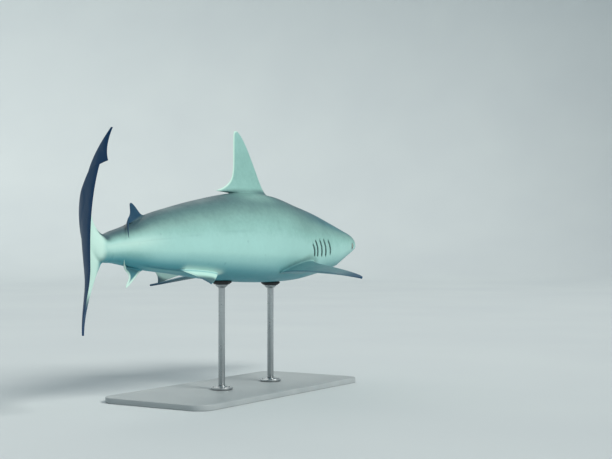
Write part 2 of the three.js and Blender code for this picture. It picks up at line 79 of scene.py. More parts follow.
# %% Body stations and the smooth curve through them
TOTAL_LENGTH = 1.6  # metres
AXIS_HEIGHT = 0.4  # metres, body axis above the floor
STATIONS = [  # distance, back, belly, half width, level of the widest point
    (0, 0.001, 0.001, 0, 0.001),  # snout
    (0.012, 0.0165, -0.0075, 0.0185, 0.0015),  # muzzle
    (0.035, 0.0268, -0.0125, 0.034, 0.002),  # nostril
    (0.076, 0.0368, -0.027, 0.048, 0.003),  # eye
    (0.12, 0.05, -0.045, 0.0545, 0.001),  # jaw
    (0.176, 0.066, -0.054, 0.0585, -0.001),  # first gill
    (0.232, 0.078, -0.0605, 0.063, -0.001),  # pectoral fin
    (0.308, 0.093, -0.0622, 0.0665, 0.003),  # first dorsal fin
    (0.4, 0.0942, -0.0592, 0.0665, 0.006),  # waist
    (0.49, 0.082, -0.0515, 0.0585, 0.008),  # pelvic fin
    (0.57, 0.0668, -0.0415, 0.046, 0.008),  # vent
    (0.635, 0.051, -0.0345, 0.0345, 0.007),  # second dorsal fin
    (0.672, 0.0365, -0.028, 0.0268, 0.005),  # anal fin
    (0.705, 0.0275, -0.0225, 0.0205, 0.003),  # stem of the tail
    (0.738, 0.0205, -0.0205, 0.0155, 0.0015),  # pits before the tail fin
    (0.756, 0.0285, -0.0155, 0.0122, 0.005),  # core of the tail fin
    (0.768, 0.041, -0.0085, 0.0098, 0.014),
    (0.8, 0.0725, 0.022, 0.0044, 0.046),
    (0.84, 0.0975, 0.064, 0.0022, 0.081),
]
BACK_SQUARENESS = 2.05  # 2 is an ellipse
BELLY_SQUARENESS = 2.35  # the belly is a little flatter
TINY = 1e-6  # keeps a division off zero at the very tip of the snout


def mm(x):
    """Millimetres as a share of the total length."""
    return x / (1000 * TOTAL_LENGTH)


def mix(a, b, t):
    return a + (b - a) * t


def ease(t):
    """0 before 0, 1 after 1, and level at both ends."""
    x = np.clip(t, 0, 1)
    return x * x * (3 - 2 * x)


def smooth_curve(column):
    """A function of the distance, through one column of the stations."""
    r = np.sqrt([row[0] for row in STATIONS])
    v = np.array([row[column] for row in STATIONS])
    secant = np.diff(v) / np.diff(r)
    slope = np.concatenate([secant[:1], (secant[:-1] + secant[1:]) / 2, secant[-1:]])

    def value(at):
        x = np.sqrt(np.clip(at, 0, 1))
        i = np.clip(np.searchsorted(r, x, side="left") - 1, 0, len(r) - 2)
        w = r[i + 1] - r[i]
        t = (x - r[i]) / w
        return (
            v[i] * (2 * t**3 - 3 * t**2 + 1)
            + slope[i] * w * (t**3 - 2 * t**2 + t)
            + v[i + 1] * (3 * t**2 - 2 * t**3)
            + slope[i + 1] * w * (t**3 - t**2)
        )

    return value


back_at, belly_at, half_width_at, widest_at = (smooth_curve(k) for k in (1, 2, 3, 4))


def body_point(at, angle):
    """The body's surface at a distance behind the snout, at an angle from the shark's left side."""
    at, angle = np.broadcast_arrays(np.asarray(at, float), np.asarray(angle, float))
    c, s = np.cos(angle), np.sin(angle)
    power = np.where(s >= 0, 2 / BACK_SQUARENESS, 2 / BELLY_SQUARENESS)
    widest = widest_at(at)
    reach = np.where(s >= 0, back_at(at) - widest, widest - belly_at(at))
    aside = half_width_at(at) * np.sign(c) * np.abs(c) ** power
    return np.stack([at, aside, widest + reach * np.sign(s) * np.abs(s) ** power], axis=-1)


deepest = back_at(0.35) - belly_at(0.35)
print("deepest at the first dorsal fin:", round(1000 * TOTAL_LENGTH * float(deepest)), "mm")

# %% [markdown]
# ## The bend
# A swimming shark doesn't turn like a bent pipe: nearly all of the turn is in the tail. Each turn
# is a number of degrees that builds up between two distances. The lobes of the tail fin are thin
# and lag behind the beat, so they bow to the left while the tail sweeps to the right.

# %% Carrying a straight point to its pose
TURNS = [(-4, 0.4, 0.64), (66, 0.672, 0.871), (7, 0.84, 1.04)]  # degrees, from, to
TAIL_LAG = {  # where the bow sets in, the level where it turns round, and its slope and curve
    "from": 0.74, "over": 0.06, "middle": -0.05, "soft": 0.03,
    "upper": (0.124, -0.242), "lower": (0.238, -1.49),
}
STILL_POINT = 0.385  # this cross-section stands over the origin
SPINE_STEPS = 1000


def heading(at):
    """Which way the body runs, in radians from -X."""
    return np.radians(sum(degrees * ease((at - a) / (b - a)) for degrees, a, b in TURNS))


spine_angle = heading((np.arange(SPINE_STEPS) + 0.5) / SPINE_STEPS)
spine_share = np.linspace(0, 1, SPINE_STEPS + 1)
spine_x = np.concatenate([[0], np.cumsum(-np.cos(spine_angle))]) / SPINE_STEPS
spine_y = np.concatenate([[0], np.cumsum(-np.sin(spine_angle))]) / SPINE_STEPS
spine_x -= np.interp(STILL_POINT, spine_share, spine_x)
spine_y -= np.interp(STILL_POINT, spine_share, spine_y)


def pose(p):
    """Straight points, one per row, carried to the row frame in metres."""
    at, aside, level = np.asarray(p, float).T
    d = level - TAIL_LAG["middle"]
    soft = np.hypot(d, TAIL_LAG["soft"])
    above, below = (soft + d) / 2, (soft - d) / 2
    upper, lower = TAIL_LAG["upper"], TAIL_LAG["lower"]
    bow = upper[0] * above + upper[1] * above**2 + lower[0] * below + lower[1] * below**2
    aside = aside + ease((at - TAIL_LAG["from"]) / TAIL_LAG["over"]) * bow
    turn = heading(at)
    x = np.interp(at, spine_share, spine_x) - np.sin(turn) * aside
    y = np.interp(at, spine_share, spine_y) + np.cos(turn) * aside
    return np.stack([x * TOTAL_LENGTH, y * TOTAL_LENGTH, level * TOTAL_LENGTH + AXIS_HEIGHT], axis=-1)


snout_tip = pose([(0, 0, 0.001)])[0]
print("snout tip at", snout_tip.round(3), "m")

# %% [markdown]
# ## A tube that becomes anything
# Body and fins are all tubes: rings of skin, one behind another. A cone with two equal ends is a
# plain tube, one subdivide cuts it into rows, and then each vertex is carried to where its row and
# its angle belong. The two ends are capped with fans of triangles, so every tube is closed.

# %% The tube maker
def read(bm):
    return np.array([v.co for v in bm.verts])


def write(bm, points):
    for vert, point in zip(bm.verts, points):
        vert.co = point


def tube(rows, sides, place):
    """A closed mesh whose rows and angles are carried to place(row, angle)."""
    bm = bmesh.new()
    bmesh.ops.create_cone(bm, cap_ends=True, cap_tris=True, segments=sides, radius1=1, radius2=1, depth=1)
    long_edges = [e for e in bm.edges if abs(e.verts[0].co.z - e.verts[1].co.z) > 0.5]
    bmesh.ops.subdivide_edges(bm, edges=long_edges, cuts=len(rows) - 2, use_grid_fill=True)
    x, y, z = read(bm).T
    row = np.asarray(rows)[np.rint((z + 0.5) * (len(rows) - 1)).astype(int)]
    points = place(row, np.arctan2(y, x))
    around = np.arange(sides) * 2 * math.pi / sides
    for i in np.flatnonzero(np.hypot(x, y) < 0.5):
        points[i] = place(np.full(sides, row[i]), around).mean(axis=0)
    write(bm, points)
    bmesh.ops.recalc_face_normals(bm, faces=bm.faces)
    return bm


def join(target, *others):
    """Adds the other meshes to the first as loose shells."""
    for bm in others:
        mesh = bpy.data.meshes.new("part")
        bm.to_mesh(mesh)
        target.from_mesh(mesh)
        bpy.data.meshes.remove(mesh)
        bm.free()


trial = tube([0, 1, 2, 3], 8, lambda row, angle: np.stack([row, np.cos(angle), np.sin(angle)], axis=-1))
print("a trial tube of 4 rows and 8 sides has", len(trial.faces), "faces")
trial.free()

# %% [markdown]
# ## The body
# Rows lie close together where the outline turns fast, at the snout, and where there will be
# detail, on the head. The trunk is smooth, so its rows can be further apart.

# %% Body rows
SIDES = 128
snout_rows = 0.05 * np.linspace(0.02, 1, 30) ** 2
head_rows = np.linspace(0.05, 0.24, 120)[1:]
trunk_rows = np.linspace(0.24, 0.62, 76)[1:]
stem_rows = np.linspace(0.62, 0.84, 72)[1:]
body = tube(np.concatenate([snout_rows, head_rows, trunk_rows, stem_rows]), SIDES, body_point)
print("body:", len(body.verts), "vertices")

# %% [markdown]
# ## Where the features lie
# Gills, mouth, nostrils, eyes and the low keel on the belly are measured like the stations: how far
# behind the snout, how far out, and at which level. They come before the detail itself, because the
# mesh has to be prepared for them.

# %% Measures of the features
EYE = {"at": 0.063, "level": 0.0025, "radius": 0.0088, "stands_out": 0.0011, "looks_up": 0.12}
GILLS = {  # the five slits, from the first: where they are, and the levels of their ends
    "at": (0.1725, 0.1908, 0.2071, 0.224, 0.2359),
    "top": (0.0145, 0.016, 0.0155, 0.014, 0.0085),
    "bottom": (-0.016, -0.0195, -0.0195, -0.019, -0.018),
    "bow": 0.0035, "lean": 0.0095,
}
MOUTH = {"front": 0.071, "corner": 0.118, "half_width": 0.041, "taper": 0.12}
NOSTRIL = {"at": 0.042, "out": 0.0265, "level": -0.012, "turn": -35}
CREASE = {"from": 0.54, "to": 0.665, "up": mm(8), "fade": 0.035}  # a fold on each side of the keel
SIDE_OF = {"left": 1, "right": -1}
print("eye:", round(2000 * TOTAL_LENGTH * EYE["radius"], 1), "mm across, gills:", len(GILLS["at"]))

# %% [markdown]
# A feature is placed by its distance and one more number, and the outline gives the third. So a
# point near the skin is put back on it: its angle on the body is worked out backwards from where it
# is, and the outline is asked for the point at that angle. A k-d tree, which sorts points by place,
# finds the nearest point of a curve without trying them all.

# %% Back onto the outline, and distances
def reach_at(at, rise):
    """From the widest level up to the back, or down to the belly, on the side where the point is."""
    return np.where(rise >= 0, back_at(at) - widest_at(at), widest_at(at) - belly_at(at))


def on_outline(points):
    """The same points, put back on the body's outline."""
    at, aside, level = points.T
    rise = level - widest_at(at)
    power = np.where(rise >= 0, BACK_SQUARENESS / 2, BELLY_SQUARENESS / 2)
    c = np.sign(aside) * np.abs(aside / np.maximum(half_width_at(at), TINY)) ** power
    s = np.sign(rise) * np.abs(rise / np.maximum(reach_at(at, rise), TINY)) ** power
    return body_point(at, np.arctan2(s, c))


def nearest(points, curve):
    """Distance from each point to the nearest of the points of a curve, and which one it is."""
    tree = KDTree(len(curve))
    for i, p in enumerate(curve):
        tree.insert(p, i)
    tree.balance()
    found = [tree.find(p) for p in points]
    return np.array([f[2] for f in found]), np.array([f[1] for f in found])


def side_normal(at, side):
    """Straight out of the flank, and a little up."""
    step = 0.002
    slope = (half_width_at(at + step) - half_width_at(at - step)) / (2 * step)
    normal = np.array([-float(slope), side, EYE["looks_up"]])
    return normal / np.linalg.norm(normal)


def eye_centre(side):
    rise = (EYE["level"] - widest_at(EYE["at"])) / (back_at(EYE["at"]) - widest_at(EYE["at"]))
    angle = math.asin(float(rise))
    on_skin = body_point(EYE["at"], angle if side > 0 else math.pi - angle)
    return on_skin + side_normal(EYE["at"], side) * (EYE["stands_out"] - EYE["radius"])


def on_nostril(side):
    return on_outline(np.array([[NOSTRIL["at"], side * NOSTRIL["out"], NOSTRIL["level"]]]))[0]


across = np.linspace(-1, 1, 241)
mouth_at = mix(MOUTH["front"], MOUTH["corner"], across**2)
mouth_out = MOUTH["half_width"] * across * (1 - MOUTH["taper"] * across**2)
drop = (1 - np.abs(mouth_out / half_width_at(mouth_at)) ** BELLY_SQUARENESS) ** (1 / BELLY_SQUARENESS)
mouth_level = widest_at(mouth_at) - (widest_at(mouth_at) - belly_at(mouth_at)) * drop
mouth_line = np.stack([mouth_at, mouth_out, mouth_level], axis=-1)
nostrils = {side: on_nostril(side) for side in SIDE_OF.values()}
eyes = {side: eye_centre(side) for side in SIDE_OF.values()}
print("mouth:", round(2000 * TOTAL_LENGTH * float(mouth_out.max())), "mm across")

# %% [markdown]
# ## Finer skin where there is detail
# A gill slit is a few millimetres wide, while the faces of the head are about 2.5 by 5 mm. Making
# the whole body finer would waste faces on a smooth trunk, so only the faces near a feature are
# subdivided. New vertices lie on the flat of the old faces, so they are put back on the
# outline. A slit leans and bows, and rows that cross it would give it teeth like a comb. So the
# rows are first moved along the body to run with the slits.

# %% Local refinement
NEAR = {"mouth": mm(11), "nostril": mm(13), "eye": mm(27), "crease_mm": 6}
MOUTH_BACK = 0.135
GILL_AREA = {"front": 0.16, "rear": 0.25, "below": -0.026, "above": 0.023, "out": 0.03}
MOVED_ROWS = {"front": 0.145, "rear": 0.265, "fade": 0.025, "past_ends": 0.7}


def refine(bm, inside, cuts=1, lengthwise=False):
    """Subdivides the edges whose middles are inside. lengthwise keeps to those that run snout to tail."""
    edges = list(bm.edges)
    if lengthwise:
        edges = [e for e in edges if abs((e.verts[0].co - e.verts[1].co).normalized().x) > 0.7]
    middles = np.array([(e.verts[0].co + e.verts[1].co) / 2 for e in edges])
    chosen = [e for e, yes in zip(edges, inside(middles)) if yes]
    bmesh.ops.subdivide_edges(bm, edges=chosen, cuts=cuts, use_grid_fill=True)
    write(bm, on_outline(read(bm)))


def near_either(points, centres, reach):
    return np.minimum(*(np.linalg.norm(points - centre, axis=1) for centre in centres.values())) < reach


def near_mouth(points):
    close = nearest(points, mouth_line)[0] < NEAR["mouth"]
    return (points[:, 0] < MOUTH_BACK) & (points[:, 2] < 0) & close


def near_gills(points):
    at, aside, level = points.T
    along = (at > GILL_AREA["front"]) & (at < GILL_AREA["rear"])
    upright = (level > GILL_AREA["below"]) & (level < GILL_AREA["above"])
    return along & upright & (np.abs(aside) > GILL_AREA["out"])


def under_crease(points):
    """How far below the fold on the belly a point lies, in mm, and how near it is along the body."""
    at, _, level = points.T
    fade = CREASE["fade"]
    along = ease((at - CREASE["from"]) / fade) * ease((CREASE["to"] - at) / fade) * (level < 0)
    return (belly_at(at) + CREASE["up"] - level) / mm(1), along


def near_crease(points):
    below, along = under_crease(points)
    return (np.abs(below) < NEAR["crease_mm"]) & (along > 0)


def along_gills(points):
    """How far a row must move at each point to run along the gill slits."""
    at, _, level = points.T
    bottom, top = np.mean(GILLS["bottom"]), np.mean(GILLS["top"])
    rise = (level - bottom) / (top - bottom)
    part = np.clip(rise, 0, 1)
    fade, past = MOVED_ROWS["fade"], MOVED_ROWS["past_ends"]
    here = ease((at - MOVED_ROWS["front"]) / fade) * ease((MOVED_ROWS["rear"] - at) / fade)
    here *= ease((rise + past) / past) * ease((1 + past - rise) / past)
    return here * (GILLS["lean"] * (part - 0.5) - GILLS["bow"] * np.sin(math.pi * part))


moved = read(body)
moved[:, 0] += along_gills(moved)
write(body, on_outline(moved))
refine(body, near_gills, cuts=3, lengthwise=True)
refine(body, near_mouth, cuts=2)
refine(body, lambda points: near_either(points, nostrils, NEAR["nostril"]), cuts=2)
refine(body, lambda points: near_either(points, eyes, NEAR["eye"]), cuts=1)
refine(body, near_crease, cuts=2)
print("body with fine skin at the head:", len(body.verts), "vertices")

# %% [markdown]
# ## Fins
# A fin is a stack of wing sections, blunt in front and fine behind. A plan says, for a height from
# 0 at the skin to 1 at the tip, where its leading and trailing edges are, which way it faces and
# how thick it is. The leading edge runs straight at first and then bends back to a round tip. The
# free rear tip, which every shark fin has, trails behind the end of the base.

# %% Wing sections
FULLEST = 2.6  # 1 over the largest value of root(c) * (1 - c), which is the shape of a half section
EDGE_THICKNESS = mm(0.9)
FIN_SIDES = 72
SMALL_FIN_SIDES = 56


def lead_curve(t, straightness, bend):
    """The leading edge from root to tip: straight at first, then bent back ever faster."""
    return straightness * t + (1 - straightness) * (1 - np.sqrt(1 - np.clip(t, 0, 1) ** bend))


def fin_rows(steps, sunk):
    """Rows from inside the body to the tip, close together in the fillet and at the tip."""
    root = [-sunk, -sunk / 2, 0, 0.006, 0.012, 0.018, 0.024, 0.031, 0.039, 0.048, 0.06]
    tip = [0.95, 0.962, 0.972, 0.98, 0.987, 0.992, 0.996]
    return np.concatenate([root, np.linspace(0.06, 0.94, steps)[1:], tip])


def fin_tube(rows, plan, sides=FIN_SIDES, flex=None):
    """A closed fin: a wing section at every row of the plan, flexed at the end if asked."""
    def place(t, angle):
        chord = (1 - np.cos(angle)) / 2
        lead, trail, facing, half = plan(t)
        wing = half * FULLEST * np.sqrt(chord) * (1 - chord)
        edge = EDGE_THICKNESS / 2 * np.sqrt(np.clip(1 - (2 * chord - 1) ** 12, 0, 1))
        side = np.sign(np.rint(np.sin(angle) / TINY))
        p = lead + (trail - lead) * chord[:, None] + facing * ((wing + edge) * side)[:, None]
        return flex(p) if flex else p

    return tube(rows, sides, place)


def columns(*parts):
    """Numbers and columns of numbers side by side, as one row for each point."""
    return np.stack(np.broadcast_arrays(*parts), axis=-1)


chord_steps = np.linspace(0, 1, 101)
thickest = chord_steps[np.argmax(np.sqrt(chord_steps) * (1 - chord_steps))]
print("a fin is thickest at", round(float(thickest), 2), "of its chord")

# %% [markdown]
# The three fins on the midline stand on the back or hang from the belly. The two small ones near
# the tail are soft: their rear tips lag behind the tail beat and fold over to the right.
# The base is the length joined to the body, the sweep is how far the tip lies behind its front end,
# and the lobe is how far the free rear tip reaches behind the base. Fairing and flare widen the
# root to the front and to the sides.

# %% Fins on the midline
FIRST_DORSAL = {
    "at": 0.308, "base": 0.103, "height": 0.1085, "sweep": 0.087, "tip_chord": 0.0065,
    "straightness": 0.8, "lobe": 0.06, "lobe_power": 9, "hollow": 0, "thickness": 0.0062,
    "fairing": 0.008, "flare": 0.003, "up": 1,
}
SECOND_DORSAL = {
    "at": 0.638, "base": 0.032, "height": 0.031, "sweep": 0.0255, "tip_chord": 0.0025,
    "straightness": 0.88, "lobe": 0.038, "lobe_power": 6, "hollow": 0.002, "thickness": 0.0028,
    "fairing": 0.007, "flare": 0.0015, "up": 1,
}
ANAL = {
    "at": 0.64, "base": 0.03, "height": 0.033, "sweep": 0.0335, "tip_chord": 0.003,
    "straightness": 0.88, "lobe": 0.036, "lobe_power": 5, "hollow": 0.012, "thickness": 0.0028,
    "fairing": 0.005, "flare": 0.0015, "up": -1,
}


def midline_plan(fin):
    """The plan of a fin on the midline, as a function of the height from root to tip."""
    floor_at = back_at if fin["up"] > 0 else belly_at
    slope = (floor_at(fin["at"] + fin["base"]) - floor_at(fin["at"])) / fin["base"]

    def plan(t):
        up = np.maximum(0, t)
        fairing = fin["fairing"] * np.exp(-up / 0.07)
        lead = fin["at"] + fin["sweep"] * lead_curve(t, fin["straightness"], 6) - fairing
        round_tip = fin["tip_chord"] * np.sqrt(np.maximum(0, 1 - up**30))
        fall = (1 - up) ** fin["lobe_power"]
        base = np.maximum(0, (fin["base"] - fin["sweep"] - fin["tip_chord"]) * fall)
        hollow = fin["hollow"] * np.sin(math.pi * np.minimum(1, up) ** 0.6)
        trail = fin["at"] + fin["sweep"] + round_tip + base + fin["lobe"] * fall * ease(up / 0.035) - hollow
        rise = fin["up"] * t * fin["height"]
        floor = floor_at(fin["at"])
        return (
            columns(lead, 0, floor + slope * (lead - fin["at"]) + rise),
            columns(trail, 0, floor + slope * (trail - fin["at"]) + rise),
            np.array([0, 1, 0]),
            fin["thickness"] * (1 - 0.8 * up) + fin["flare"] * np.exp(-up / 0.06),
        )

    return plan


def lag(start, length, aside, lift, curl):
    """A rear tip folded to the right. lift is how it sets off at the root, and curl how it ends."""

    def flex(p):
        d = np.maximum(0, (p[:, 0] - start) / length)
        return p + columns(0, -aside * d**1.15, lift * d + curl * d**2)

    return flex


second_lag = lag(0.668, 0.032, 0.03, 0.024, -0.0375)
anal_lag = lag(0.672, 0.03, 0.022, -0.0136, 0.0212)
fins = [
    fin_tube(fin_rows(52, 0.1), midline_plan(FIRST_DORSAL)),
    fin_tube(fin_rows(26, 0.2), midline_plan(SECOND_DORSAL), SMALL_FIN_SIDES, second_lag),
    fin_tube(fin_rows(30, 0.2), midline_plan(ANAL), SMALL_FIN_SIDES, anal_lag),
]
print("first dorsal fin:", round(1000 * TOTAL_LENGTH * FIRST_DORSAL["height"]), "mm high")

# %% [markdown]
# The fins in pairs grow out of the lower flanks. The pectoral fins are the shark's wings: thick in
# front, tilted, and drooping towards the tip. The pelvic fins are short and nearly level. A fin of
# a pair is measured out from the midline, at the root and at the tip. The tuck pulls its rear edge
# in towards the body, and the cant turns its flat to face a little outwards.

# %% Fins in pairs
PECTORAL = {
    "at": 0.232, "base": 0.062, "root_out": 0.056, "root_level": -0.033, "tip_out": 0.2255,
    "tip_level": {1: -0.071, -1: -0.05}, "sweep": 0.12, "straightness": 0.74, "bend": 4, "lobe": 0.043,
    "rear_power": 2.2, "hollow": 0.011, "tilt": 0.065, "root_tilt": 0.07, "shoulder": 0.004, "tuck": 0.12,
    "cant": 0.16, "thickness": 0.0085, "flare": 0.004, "fairing": 0.006,
}
PELVIC = {
    "at": 0.484, "base": 0.052, "root_out": 0.031, "root_level": -0.0405, "tip_out": 0.0563,
    "tip_level": {1: -0.0575, -1: -0.0575}, "sweep": 0.0535, "straightness": 0.85, "bend": 5, "lobe": 0.053,
    "rear_power": 0.8, "hollow": 0.003, "tilt": -0.07, "root_tilt": 0, "shoulder": 0, "tuck": 0.04,
    "cant": 0.45, "thickness": 0.0042, "flare": 0.002, "fairing": 0.004,
}


def paired_plan(fin, side):
    """The plan of one fin of a pair, as a function of the way from root to tip."""
    fall = fin["tip_level"][side] - fin["root_level"]

    def plan(t):
        up = np.maximum(0, t)
        out = mix(fin["root_out"], fin["tip_out"], t)
        droop = fin["root_level"] + fall * mix(t, t * np.abs(t), 0.35)
        sweep = fin["sweep"] * lead_curve(t, fin["straightness"], fin["bend"])
        lead = fin["at"] + sweep - fin["fairing"] * np.exp(-up / 0.06)
        hollow = fin["hollow"] * np.sin(math.pi * np.minimum(1, up * 1.02))
        rear = fin["base"] + fin["lobe"] * ease(up / 0.05)
        rear = mix(rear, fin["sweep"], up ** fin["rear_power"]) - hollow
        trail = fin["at"] + np.maximum(rear, sweep)
        tilt = fin["tilt"] * (1 - 0.6 * up) + fin["root_tilt"] * np.exp(-up / 0.12)
        shoulder = fin["shoulder"] * np.exp(-up / 0.1)
        facing = columns(tilt, side * fin["cant"], 1)
        return (
            columns(lead, side * out, droop + shoulder),
            columns(trail, side * (out - fin["tuck"] * (trail - lead)), droop - tilt * (trail - lead)),
            facing / np.linalg.norm(facing, axis=1)[:, None],
            fin["thickness"] * (1 - 0.82 * up) + fin["flare"] * np.exp(-up / 0.07),
        )

    return plan


for side in SIDE_OF.values():
    fins.append(fin_tube(fin_rows(64, 0.1), paired_plan(PECTORAL, side)))
    fins.append(fin_tube(fin_rows(30, 0.25), paired_plan(PELVIC, side), SMALL_FIN_SIDES))
print("pectoral fin:", round(1000 * TOTAL_LENGTH * (PECTORAL["tip_out"] - PECTORAL["root_out"])), "mm out")

# %% [markdown]
# The tail fin is one thin crescent. The spine runs up into its long upper lobe. Both edges are
# chains of arcs from the lower tip to the upper one, and the share of the way at which each arc
# ends keeps the two edges in step. Near the upper tip the rear edge has a notch and a small lobe.

# %% Tail fin
TAIL_LEAD = [  # share of the way at which the arc ends, then its start, pull and end
    (0.4, (0.788, -0.1278), (0.7757, -0.0648), (0.728, -0.018)),
    (0.52, (0.728, -0.018), (0.712, 0), (0.7207, 0.0185)),
    (0.6, (0.7207, 0.0185), (0.759, 0.0269), (0.7619, 0.0555)),
    (0.69, (0.7619, 0.0555), (0.763, 0.0635), (0.787, 0.0715)),
    (0.86, (0.787, 0.0715), (0.8235, 0.085), (0.8565, 0.1085)),
    (1, (0.8565, 0.1085), (0.879, 0.133), (0.946, 0.1663)),
]
TAIL_TRAIL = [
    (0.4, (0.7945, -0.1272), (0.828, -0.078), (0.8405, -0.03)),
    (0.845, (0.8405, -0.03), (0.8532, 0.0646), (0.9072, 0.125)),
    (0.875, (0.9072, 0.125), (0.919, 0.122), (0.93, 0.1208)),
    (1, (0.93, 0.1208), (0.919, 0.139), (0.948, 0.1658)),
]
TAIL_THICKNESS = 0.0042
TAIL_ROOT = {"share": 0.47, "spread": 0.13, "thin": 0.26}  # thickest here, and this much of it at the tips
TAIL_SIDES = 64


def along_edge(edge, u):
    """The point of a chain of arcs at a share of the way."""
    ends = np.array([arc[0] for arc in edge])
    starts = np.concatenate([[0], ends[:-1]])
    i = np.minimum(np.searchsorted(ends, u, side="left"), len(edge) - 1)
    t = ((u - starts[i]) / (ends[i] - starts[i]))[:, None]
    a, pull, b = (np.array([arc[k] for arc in edge])[i] for k in (1, 2, 3))
    p = (1 - t) ** 2 * a + 2 * t * (1 - t) * pull + t**2 * b
    return columns(p[:, 0], 0, p[:, 1])


def tail_plan(u):
    """The plan of the tail fin, from the lower tip to the upper one."""
    near_root = np.exp(-(((u - TAIL_ROOT["share"]) / TAIL_ROOT["spread"]) ** 2))
    half = TAIL_THICKNESS * mix(TAIL_ROOT["thin"], 1, near_root)
    return along_edge(TAIL_LEAD, u), along_edge(TAIL_TRAIL, u), np.array([0, 1, 0]), half


tail_rows = np.concatenate([
    [0.003, 0.008, 0.014], np.linspace(0.02, 0.82, 100), np.linspace(0.82, 0.9, 24)[1:],
    np.linspace(0.9, 0.985, 16)[1:], [0.99, 0.994, 0.997],
])
fins.append(fin_tube(tail_rows, tail_plan, TAIL_SIDES))
print("fins:", sum(len(f.verts) for f in fins), "vertices")

# %% [markdown]
# ## One skin
# The fins are joined to the body by a boolean union, which leaves a hard corner all along each
# root. On a shark the skin runs over without a corner, in a fillet as wide as the fin is thick. So
# the body's faces near a root are made finer before the union, and afterwards the skin round the
# joint is relaxed again and again, each time over a narrower band.

# %% Union of body and fins
ROOT_BAND = mm(26)
plans = [midline_plan(fin) for fin in (FIRST_DORSAL, SECOND_DORSAL, ANAL)]
plans += [paired_plan(fin, side) for fin in (PECTORAL, PELVIC) for side in SIDE_OF.values()]
chord_share = np.linspace(-0.05, 1.05, 60)[:, None]
root_chords = []
for plan in plans:
    lead, trail, _, _ = plan(np.zeros(1))
    root_chords.append(lead + (trail - lead) * chord_share)
root_chords = np.concatenate(root_chords)
refine(body, lambda points: nearest(points, root_chords)[0] < ROOT_BAND)


def to_object(name, bm):
    """A new object with the mesh, which is used up."""
    mesh = bpy.data.meshes.new(name)
    bm.to_mesh(mesh)
    bm.free()
    made = bpy.data.objects.new(name, mesh)
    bpy.context.scene.collection.objects.link(made)
    return made


def apply_modifiers(made):
    """Replaces an object's mesh with what its modifiers make of it."""
    bpy.context.view_layer.update()
    evaluated = made.evaluated_get(bpy.context.evaluated_depsgraph_get())
    mesh = bpy.data.meshes.new_from_object(evaluated)
    made.modifiers.clear()
    made.data = mesh


marks = [bpy.data.materials.new("body_side"), bpy.data.materials.new("fin_side")]
fin_bm = fins[0]
join(fin_bm, *fins[1:])
for face in fin_bm.faces:
    face.material_index = 1
shark = to_object("shark_skin", body)
fin_object = to_object("fins", fin_bm)
for made in (shark, fin_object):
    for mark in marks:
        made.data.materials.append(mark)
union = shark.modifiers.new("union", "BOOLEAN")
union.operation = "UNION"
union.solver = "MANIFOLD"
union.object = fin_object
apply_modifiers(shark)
bpy.data.objects.remove(fin_object)
print("skin:", len(shark.data.vertices), "vertices", len(shark.data.polygons), "faces")

# %% [markdown]
# The union tells body and fin apart by a mark on their faces. The edges between the two marks are
# the seam. Very short edges there are closed up first, because relaxing can't move them apart.

# %% Relax the skin round every fin root
RELAXED_BANDS = (13, 12, 11, 10, 9, 8, 7, 6, 5, 4, 3, 3)  # mm to each side of the seam
CLEAN_BAND, SHORTEST_EDGE = mm(3), mm(0.5)
skin = bmesh.new()
skin.from_mesh(shark.data)


def seam_points(bm):
    """The vertices between faces of the body and faces of a fin."""
    between = set()
    for edge in bm.edges:
        if len({face.material_index for face in edge.link_faces}) == 2:
            between.update(edge.verts)
    return [v.co.copy() for v in between]


closeness = nearest(read(skin), seam_points(skin))[0]
short = {e for v, near in zip(skin.verts, closeness) if near < CLEAN_BAND for e in v.link_edges}
bmesh.ops.dissolve_degenerate(skin, dist=SHORTEST_EDGE, edges=list(short))
bmesh.ops.triangulate(skin, faces=[f for f in skin.faces if len(f.verts) > 4])
seam = np.array(seam_points(skin))
closeness = nearest(read(skin), seam)[0]
for width in RELAXED_BANDS:
    band = [v for v, near in zip(skin.verts, closeness) if near < mm(width)]
    bmesh.ops.smooth_vert(skin, verts=band, factor=0.5, use_axis_x=True, use_axis_y=True, use_axis_z=True)
straight = read(skin)
print("seam:", len(seam), "vertices relaxed,", len(skin.verts), "in all")

# %% [markdown]
# ## Gills, mouth, nostrils and eyelids
# Each of these is relief in the skin: a height in millimetres, added along the normals of the
# straight skin. They could be cut with booleans, but a real slit has soft sides that run out into
# the skin, and a sum of smooth curves gives that. Behind every gill slit's front flap the skin drops
# steeply and comes back slowly, like a row of overlapping tiles.

# %% Relief of the gills
TILE = {"depth": 6.0, "drop": 1.8, "return": 3.0, "flap": 1.2, "flap_ahead": 1.6, "flap_wide": 3.2}  # mm
SIDE_OF_HEAD = {"out": 0.034, "fade": 0.008}
SLIT_END = 0.12  # share of a slit's height over which it runs out


def bump(x, middle, width):
    """1 in the middle, falling off to nothing on both sides."""
    return np.exp(-(((x - middle) / width) ** 2))


def gill_relief(p):
    """Height of the skin in mm, and how deep in a slit it is from 0 to 1."""
    at, aside, level = p.T
    height, hollow = np.zeros(len(p)), np.zeros(len(p))
    on_side = ease((np.abs(aside) - SIDE_OF_HEAD["out"]) / SIDE_OF_HEAD["fade"])
    for slit_at, top, bottom in zip(GILLS["at"], GILLS["top"], GILLS["bottom"]):
        rise = (level - bottom) / (top - bottom)
        line = slit_at - GILLS["bow"] * np.sin(math.pi * rise) + GILLS["lean"] * (rise - 0.5)
        behind = (at - line) / mm(1)
        reach = on_side * ease(rise / SLIT_END) * ease((1 - rise) / SLIT_END)
        back_up = np.exp(-np.maximum(0, behind - TILE["drop"]) / TILE["return"])
        trough = ease(behind / TILE["drop"]) * back_up
        flap = bump(behind, -TILE["flap_ahead"], TILE["flap_wide"])
        height += reach * (TILE["flap"] * flap - TILE["depth"] * trough)
        # how deep in the slit, which the paint turns into painted shade
        hollow = np.maximum(hollow, reach * ease((trough - 0.1) / 0.4))
    return height, hollow


